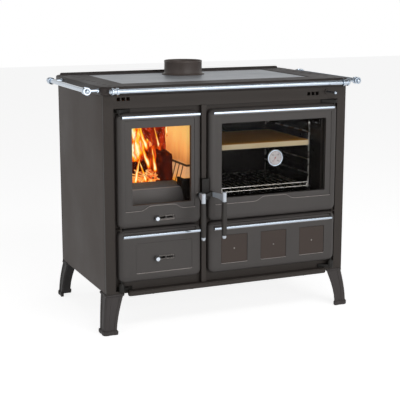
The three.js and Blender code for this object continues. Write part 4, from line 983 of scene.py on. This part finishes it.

# %% [markdown]
# ## The log retainer
#
# The bar that keeps the logs off the glass is a cast angle: an upright front and a shelf that
# climbs a little towards the fire. The shelf is a block whose rear face is pushed up, which keeps
# its front edge level. The bar's edges are rounded. Its front is a lighter iron, painted light for
# the lamp light that the glass keeps from it, with a painted highlight on its top edge. The shelf
# is grey with a painted blue tint that cancels the fire's orange light. A black block in the
# corner between its right end and the wall is painted shade.

# %% Retainer
SHELF_RISE = 0.0095
BAR = 0.009  # the angle's thickness
SHELF_SET_BACK = 0.003  # from the front's face to the shelf's edge
SHADE_BLOCK = (-0.1595, -0.1668, 0.4850), (-0.1165, -0.1200, 0.5165)  # the block's two corners
low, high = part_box("log_retainer")
front = block(low, (high.x, low.y + BAR, high.z))
shelf = block((low.x, low.y + SHELF_SET_BACK, high.z - BAR), high)
push_faces(shelf, lambda face: face.normal.y > 0.9, (0, 0, SHELF_RISE))
for part in (front, shelf):
    round_edges(part, 0.002, 3)
complete(front, "retainer_front", "stove", painted_light_retainer_iron, smooth=40)
complete(shelf, "retainer_shelf", "stove", firelight_blued_shelf_iron, smooth=40)
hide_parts("log_retainer")

# Painted shade: a black block stands where the corner by the retainer's right end lies in shadow.
shade_block = block(*SHADE_BLOCK)
round_edges(shade_block, 0.0015)
complete(shade_block, "painted_shade_block", "stove", soot_and_shade_iron)

# %% [markdown]
# ## The burning fire
#
# The fire is what the eye goes to first. Split logs stand and lean on the grate behind the
# retainer, over a heap of embers and half-burnt sticks, and flames lick up on the left. The wood
# has burnt unevenly, so it has three finishes: dark, red and glowing.

# %% Charred wood
def charred(name, warm, strength=0.8):
    """Burnt wood whose glow runs along its length, from dark to this colour and a few hot cracks."""
    char = Finish(name, roughness=0.85, shine=0.1)
    bark = char.noise(1.0, detail=5, rough=0.6, where=char.stretched((90, 90, 18)), distortion=0.4)
    crack = char.noise(1.0, detail=4, rough=0.6, where=char.stretched((60, 60, 22)))
    burnt = [(0.32, screen(12, 3, 1)), (0.6, screen(36, 11, 4)), (0.75, screen(64, 22, 8))]
    char.colour(char.ramp(bark, burnt))
    hot = char.ramp(
        crack,
        [
            (0.36, shade(warm, 0.25)), (0.5, shade(warm, 0.8)), (0.62, shade(warm, 1.5)),
            (0.78, screen(255, 120, 16)),
        ],
    )
    char.glow(hot, strength)
    char.bump(bark, 0.8, 0.003)
    return char.material


dark_wood = charred("dark_wood", screen(72, 12, 2))
red_wood = charred("red_wood", screen(168, 40, 12), 0.9)
glowing_wood = charred("glowing_wood", screen(224, 70, 8), 1.0)
print("wood finishes made")


# %% [markdown]
# A log starts as an upright cylinder. It is split by bisecting it lengthwise, and a slanting cut
# leaves its upper end broken. A fine remesh then gives it enough points for clouds to push its
# bark in and out, which a bump alone could not do at the outline.

# %% Clouds that push a surface
def clouds(name, size, depth=2):
    """A texture of clouds of about this size."""
    texture = bpy.data.textures.new(name, "CLOUDS")
    texture.noise_scale = size
    texture.noise_depth = depth
    return texture


def push_by(texture, piece, strength, direction="NORMAL"):
    """Pushes a surface in and out by a texture."""
    modify(
        piece, "DISPLACE", texture=texture, strength=strength, mid_level=0.5,
        direction=direction, texture_coords="LOCAL",
    )


# %% Logs
def log(name, foot, head, radius, split, wood):
    """A split log from foot to head, in metres, with its flat side turned by split degrees."""
    let_go()
    foot, head = Vector(foot), Vector(head)
    length = (head - foot).length
    bpy.ops.mesh.primitive_cylinder_add(vertices=28, radius=radius, depth=length)
    piece = bpy.context.object
    edit(piece, everything=True)
    along, across = (0, 1, 0), (0.35, 0.1, 1)
    for at, facing in (((0, radius * 0.35, 0), along), ((0, 0, length * 0.42), across)):
        bpy.ops.mesh.select_all(action="SELECT")
        bpy.ops.mesh.bisect(plane_co=at, plane_no=facing, use_fill=True, clear_outer=True)
    bpy.ops.object.mode_set(mode="OBJECT")
    round_edges(piece, radius * 0.12, angle=40)
    modify(piece, "REMESH", mode="VOXEL", voxel_size=0.0032)
    push_by(clouds(name + "_bark", 0.03, depth=4), piece, 0.012)
    piece.rotation_euler = (0, 0, math.radians(split))
    settle(piece)
    piece.rotation_mode = "QUATERNION"
    piece.rotation_quaternion = (head - foot).to_track_quat("Z", "Y")
    piece.location = (foot + head) / 2
    return complete(piece, name, "stove", wood, smooth=60)


log("log_standing", (-0.174, -0.043, 0.480), (-0.176, -0.043, 0.612), 0.032, 20, dark_wood)
log("log_upright", (-0.186, -0.010, 0.575), (-0.192, -0.012, 0.740), 0.027, 80, red_wood)
log("log_leaning", (-0.170, 0.010, 0.610), (-0.262, 0.006, 0.716), 0.025, 200, red_wood)
log("log_glowing", (-0.208, -0.030, 0.520), (-0.204, -0.026, 0.628), 0.026, 0, glowing_wood)
log("log_between", (-0.262, -0.010, 0.500), (-0.196, 0.002, 0.590), 0.022, 150, dark_wood)
log("log_behind", (-0.232, 0.070, 0.490), (-0.262, 0.074, 0.720), 0.052, 60, red_wood)
log("log_lying", (-0.330, -0.030, 0.532), (-0.262, -0.034, 0.540), 0.028, 100, dark_wood)

# %% [markdown]
# Embers are small broken lumps, far more than can be placed by eye, so a seeded random number sets
# each copy's place and size. The sticks over them are half burnt and still pale in places.

# %% Embers
EMBERS = 230
HEAP = (-0.262, 0.04, 0.446)  # the heap's middle, at its foot
dice = random.Random(7)
ember = Finish("embers", roughness=0.9)
lump = ember.noise(70, detail=4, rough=0.7)
ember.colour(ember.ramp(lump, [(0.35, screen(40, 14, 8)), (0.65, screen(200, 170, 140))]))
ember_light = ember.ramp(
    lump,
    [
        (0.38, screen(120, 16, 4)), (0.48, screen(255, 70, 8)), (0.58, screen(255, 190, 60)),
        (0.7, screen(255, 244, 200)),
    ],
)
ember.glow(ember_light, 0.95)

let_go()
bpy.ops.mesh.primitive_ico_sphere_add(subdivisions=2, radius=0.008)
first = bpy.context.object
push_by(clouds("ember_lumps", 0.008), first, 0.006)
heap = [first]
for number in range(EMBERS):
    copy = first.copy()
    copy.data = first.data.copy()
    scene.collection.objects.link(copy)
    reach = dice.random()
    x = dice.uniform(-0.372, -0.150)
    y = dice.uniform(-0.064, 0.150)
    crown = 1 - ((x - HEAP[0]) / 0.13) ** 2 * 0.5
    copy.location = (x, y, 0.448 + (0.064 * crown) * math.sqrt(reach))
    copy.scale = [dice.uniform(0.6, 1.3) for axis in "XYZ"]
    copy.rotation_euler = [dice.uniform(0, 6.28) for axis in "XYZ"]
    heap.append(copy)
first.location = HEAP
heap = join(heap)
complete(heap, "ember_heap", "stove", ember.material, smooth=50)

# %% Sticks
STICKS = 38
pale = Finish("burning_sticks", roughness=0.8)
grainy = pale.noise(1.0, detail=5, rough=0.7, where=pale.stretched((60, 60, 60)))
bare_wood = [(0.3, screen(90, 40, 20)), (0.44, screen(206, 160, 106)), (0.66, screen(240, 214, 160))]
pale.colour(pale.ramp(grainy, bare_wood))
stick_light = pale.ramp(
    grainy,
    [
        (0.34, screen(110, 6, 2)), (0.42, screen(240, 40, 8)), (0.5, screen(226, 160, 60)),
        (0.62, screen(240, 212, 146)),
    ],
)
pale.glow(stick_light, 0.7)
sticks = []
for number in range(STICKS):
    length = dice.uniform(0.03, 0.075)
    half = dice.uniform(0.0018, 0.0040)
    stick = block((-half, -half * 0.7, -length / 2), (half, half * 0.7, length / 2))
    round_edges(stick, half * 0.3, 1)
    place(
        stick,
        (dice.uniform(-0.31, -0.165), dice.uniform(-0.058, 0.0), dice.uniform(0.502, 0.528)),
        (dice.uniform(55, 125), 0, dice.uniform(0, 180)),
    )
    sticks.append(stick)
sticks = join(sticks)
complete(sticks, "burning_sticks", "stove", pale.material, smooth=30)

# %% [markdown]
# A flame is a thin sheet of light. A simulation could make finer ones, but it has to be baked
# first and gives no mesh. So each one is a grid that modifiers taper to a tip, twist and ripple. Its
# material reads the grid's own UV map: white-hot low in the middle, yellow, then orange and red
# towards the edges and the tip, with noise tearing the outline. At the foot it fades, so that no
# flame ends in a straight line.

# %% Flame light
flame = Finish("flame", roughness=1.0, shine=0)
uv = flame.node("TexCoord").outputs["UV"]
stretch = flame.node("Mapping")
stretch.inputs["Scale"].default_value = (1.5, 1.1, 1)
flame.link(uv, stretch.inputs["Vector"])
lick = flame.noise(2.2, detail=3, rough=0.5, where=stretch.outputs["Vector"], distortion=0.8)
body_noise = flame.noise(26, detail=2, rough=0.5)
sheet = flame.parts(uv)
across = flame.math("SUBTRACT", flame.math("MULTIPLY", sheet["X"], 2.0), 1.0)
off_middle = flame.math("ABSOLUTE", across)
middle_heat = flame.math("SUBTRACT", 1.0, flame.math("POWER", off_middle, 1.6))
falling = flame.math("SUBTRACT", 1.06, flame.math("MULTIPLY", sheet["Y"], 0.72))
heat = flame.math("MULTIPLY", middle_heat, falling)
torn = flame.math("MULTIPLY", flame.math("SUBTRACT", lick, 0.5), 1.5)
torn = flame.math("ADD", torn, flame.math("MULTIPLY", flame.math("SUBTRACT", body_noise, 0.5), 0.7))
heat = flame.math("ADD", heat, torn, clamp=True)
rooted = flame.greys(sheet["Y"], [(0.0, 0.0), (0.16, 1.0)])
heat = flame.math("MULTIPLY", heat, rooted)
flame_colour = flame.ramp(
    heat,
    [
        (0.1, screen(120, 10, 2)), (0.3, screen(235, 54, 4)), (0.46, screen(255, 120, 10)),
        (0.62, screen(255, 200, 40)), (0.84, screen(255, 250, 200)),
    ],
)
flame.glow(flame_colour, 1.2)
flame.shader.inputs["Base Color"].default_value = (0, 0, 0, 1)
flame.link(flame.greys(heat, [(0.16, 0.0), (0.46, 0.94)]), flame.shader.inputs["Alpha"])
flame_light = flame.material
print("flame light made")


# %% Flames
def tongue(name, foot, width, height, lean, twist, ripple):
    """One flame sheet: a grid on its edge, tapered, twisted, rippled and tilted by lean degrees."""
    let_go()
    bpy.ops.mesh.primitive_grid_add(x_subdivisions=14, y_subdivisions=40, size=1)
    piece = bpy.context.object
    piece.scale = (width, height, 1)
    settle(piece)
    place(piece, (0, 0, height / 2), (90, 0, 0))
    modify(piece, "SIMPLE_DEFORM", deform_method="TAPER", deform_axis="Z", factor=-1.2)
    modify(piece, "SIMPLE_DEFORM", deform_method="TWIST", deform_axis="Z", angle=math.radians(twist))
    waves = clouds(name + "_ripple", 0.05)
    push_by(waves, piece, ripple, "X")
    push_by(waves, piece, ripple * 0.6, "Y")
    place(piece, foot, (0, lean, 0))
    return complete(piece, name, "stove", flame_light, smooth=60, closed=False)


tongue("flame_1", (-0.286, -0.058, 0.560), 0.060, 0.250, 2, 18, 0.030)
tongue("flame_2", (-0.262, -0.050, 0.574), 0.050, 0.250, -8, -14, 0.030)
tongue("flame_3", (-0.240, -0.056, 0.530), 0.030, 0.190, -14, 24, 0.026)
tongue("flame_4", (-0.219, -0.062, 0.520), 0.026, 0.130, -6, -20, 0.018)
tongue("flame_5", (-0.254, -0.064, 0.486), 0.024, 0.120, -16, 14, 0.014)
tongue("flame_12", (-0.300, -0.064, 0.480), 0.026, 0.150, 12, -14, 0.014)
tongue("flame_6", (-0.268, 0.020, 0.540), 0.090, 0.235, 4, 12, 0.030)
tongue("flame_7", (-0.236, 0.036, 0.540), 0.080, 0.240, 8, -10, 0.030)
tongue("flame_8", (-0.288, -0.040, 0.620), 0.060, 0.200, -4, -16, 0.024)
tongue("flame_9", (-0.196, -0.046, 0.600), 0.016, 0.130, -12, 20, 0.014)
tongue("flame_10", (-0.158, -0.024, 0.640), 0.014, 0.150, -4, 10, 0.008)
tongue("flame_11", (-0.252, -0.070, 0.600), 0.030, 0.180, -16, -22, 0.020)

# %% [markdown]
# ## The studio
#
# The floor is pale and runs out of sight, with only a soft shadow under the feet. The world is a
# white room that grows dark overhead, so that the hob and the chrome have something to show. Both
# look brighter to the camera, and in mirrors and glass, than the light that they give, because a
# room as bright as the picture's ground would wash the stove's dark enamel out. Four large soft
# lamps light it from the left, the front and above, and give the doors' top edges long highlights.

# %% Floor
def seen_in_picture(tree):
    """1 for what the camera sees, also in a mirror or through glass, and 0 for light cast."""
    ray = tree.node("LightPath").outputs
    seen = tree.math("ADD", ray["Is Camera Ray"], ray["Is Glossy Ray"], clamp=True)
    return tree.math("ADD", seen, ray["Is Transmission Ray"], clamp=True)


let_go()
bpy.ops.mesh.primitive_plane_add(size=24, location=(0, 0, -0.0005))
floor = bpy.context.object
floor.name = "floor"
pale_floor = Finish("pale_floor", roughness=0.9, shine=0)
pale_floor.shader.inputs["Base Color"].default_value = (0.6, 0.6, 0.6, 1)
pale_floor.shader.inputs["Emission Color"].default_value = (1, 1, 1, 1)
floor_light = pale_floor.math("MULTIPLY", seen_in_picture(pale_floor), 0.84)
pale_floor.link(floor_light, pale_floor.shader.inputs["Emission Strength"])
floor.data.materials.append(pale_floor.material)

# %% World
class Room(Finish):
    """The world, with a finish's short ways to add nodes."""

    def __init__(self, name):
        self.world = bpy.data.worlds.new(name)
        self.world.use_nodes = True
        self.tree = self.world.node_tree


room = Room("studio")
scene.world = room.world
background = room.tree.nodes["Background"]
direction = room.parts(room.node("TexCoord").outputs["Generated"])
upwards = room.math("MULTIPLY_ADD", direction["Z"], 0.5, 0.5)
room.link(room.greys(upwards, [(0.6, 1.0), (0.72, 0.2)]), background.inputs["Color"])
room_light = room.math("MULTIPLY_ADD", seen_in_picture(room), 0.54, 0.46)
room.link(room_light, background.inputs["Strength"])
print("floor and room made")


# %% Lamps
def softbox(name, at, aim, size, power):
    """A rectangular lamp at one point that looks at another, with its size and its watts."""
    let_go()
    bpy.ops.object.light_add(type="AREA", location=at)
    lamp = bpy.context.object
    lamp.name = name
    lamp.rotation_euler = (Vector(aim) - Vector(at)).to_track_quat("-Z", "Y").to_euler()
    lamp.data.shape = "RECTANGLE"
    lamp.data.size, lamp.data.size_y = size
    lamp.data.energy = power


softbox("key_left", (-2.6, -1.6, 2.2), (-0.2, 0, 0.5), (1.6, 1.6), 8)
softbox("over_front", (0.6, -2.2, 2.6), (0, 0, 0.5), (2.4, 0.5), 15)
softbox("overhead", (0, 0.2, 3.2), (0, 0, 0.8), (1.8, 1.2), 8)
softbox("low_front", (0.6, -4.2, 1.1), (0, 0, 0.5), (4.0, 2.2), 54)
print("lamps made")

# %% [markdown]
# ## The colours leave the camera as they are
#
# The default view softens bright colours. The Standard view shows a colour about as it was
# written, so it is chosen here.

scene.view_settings.view_transform = "Standard"
let_go()
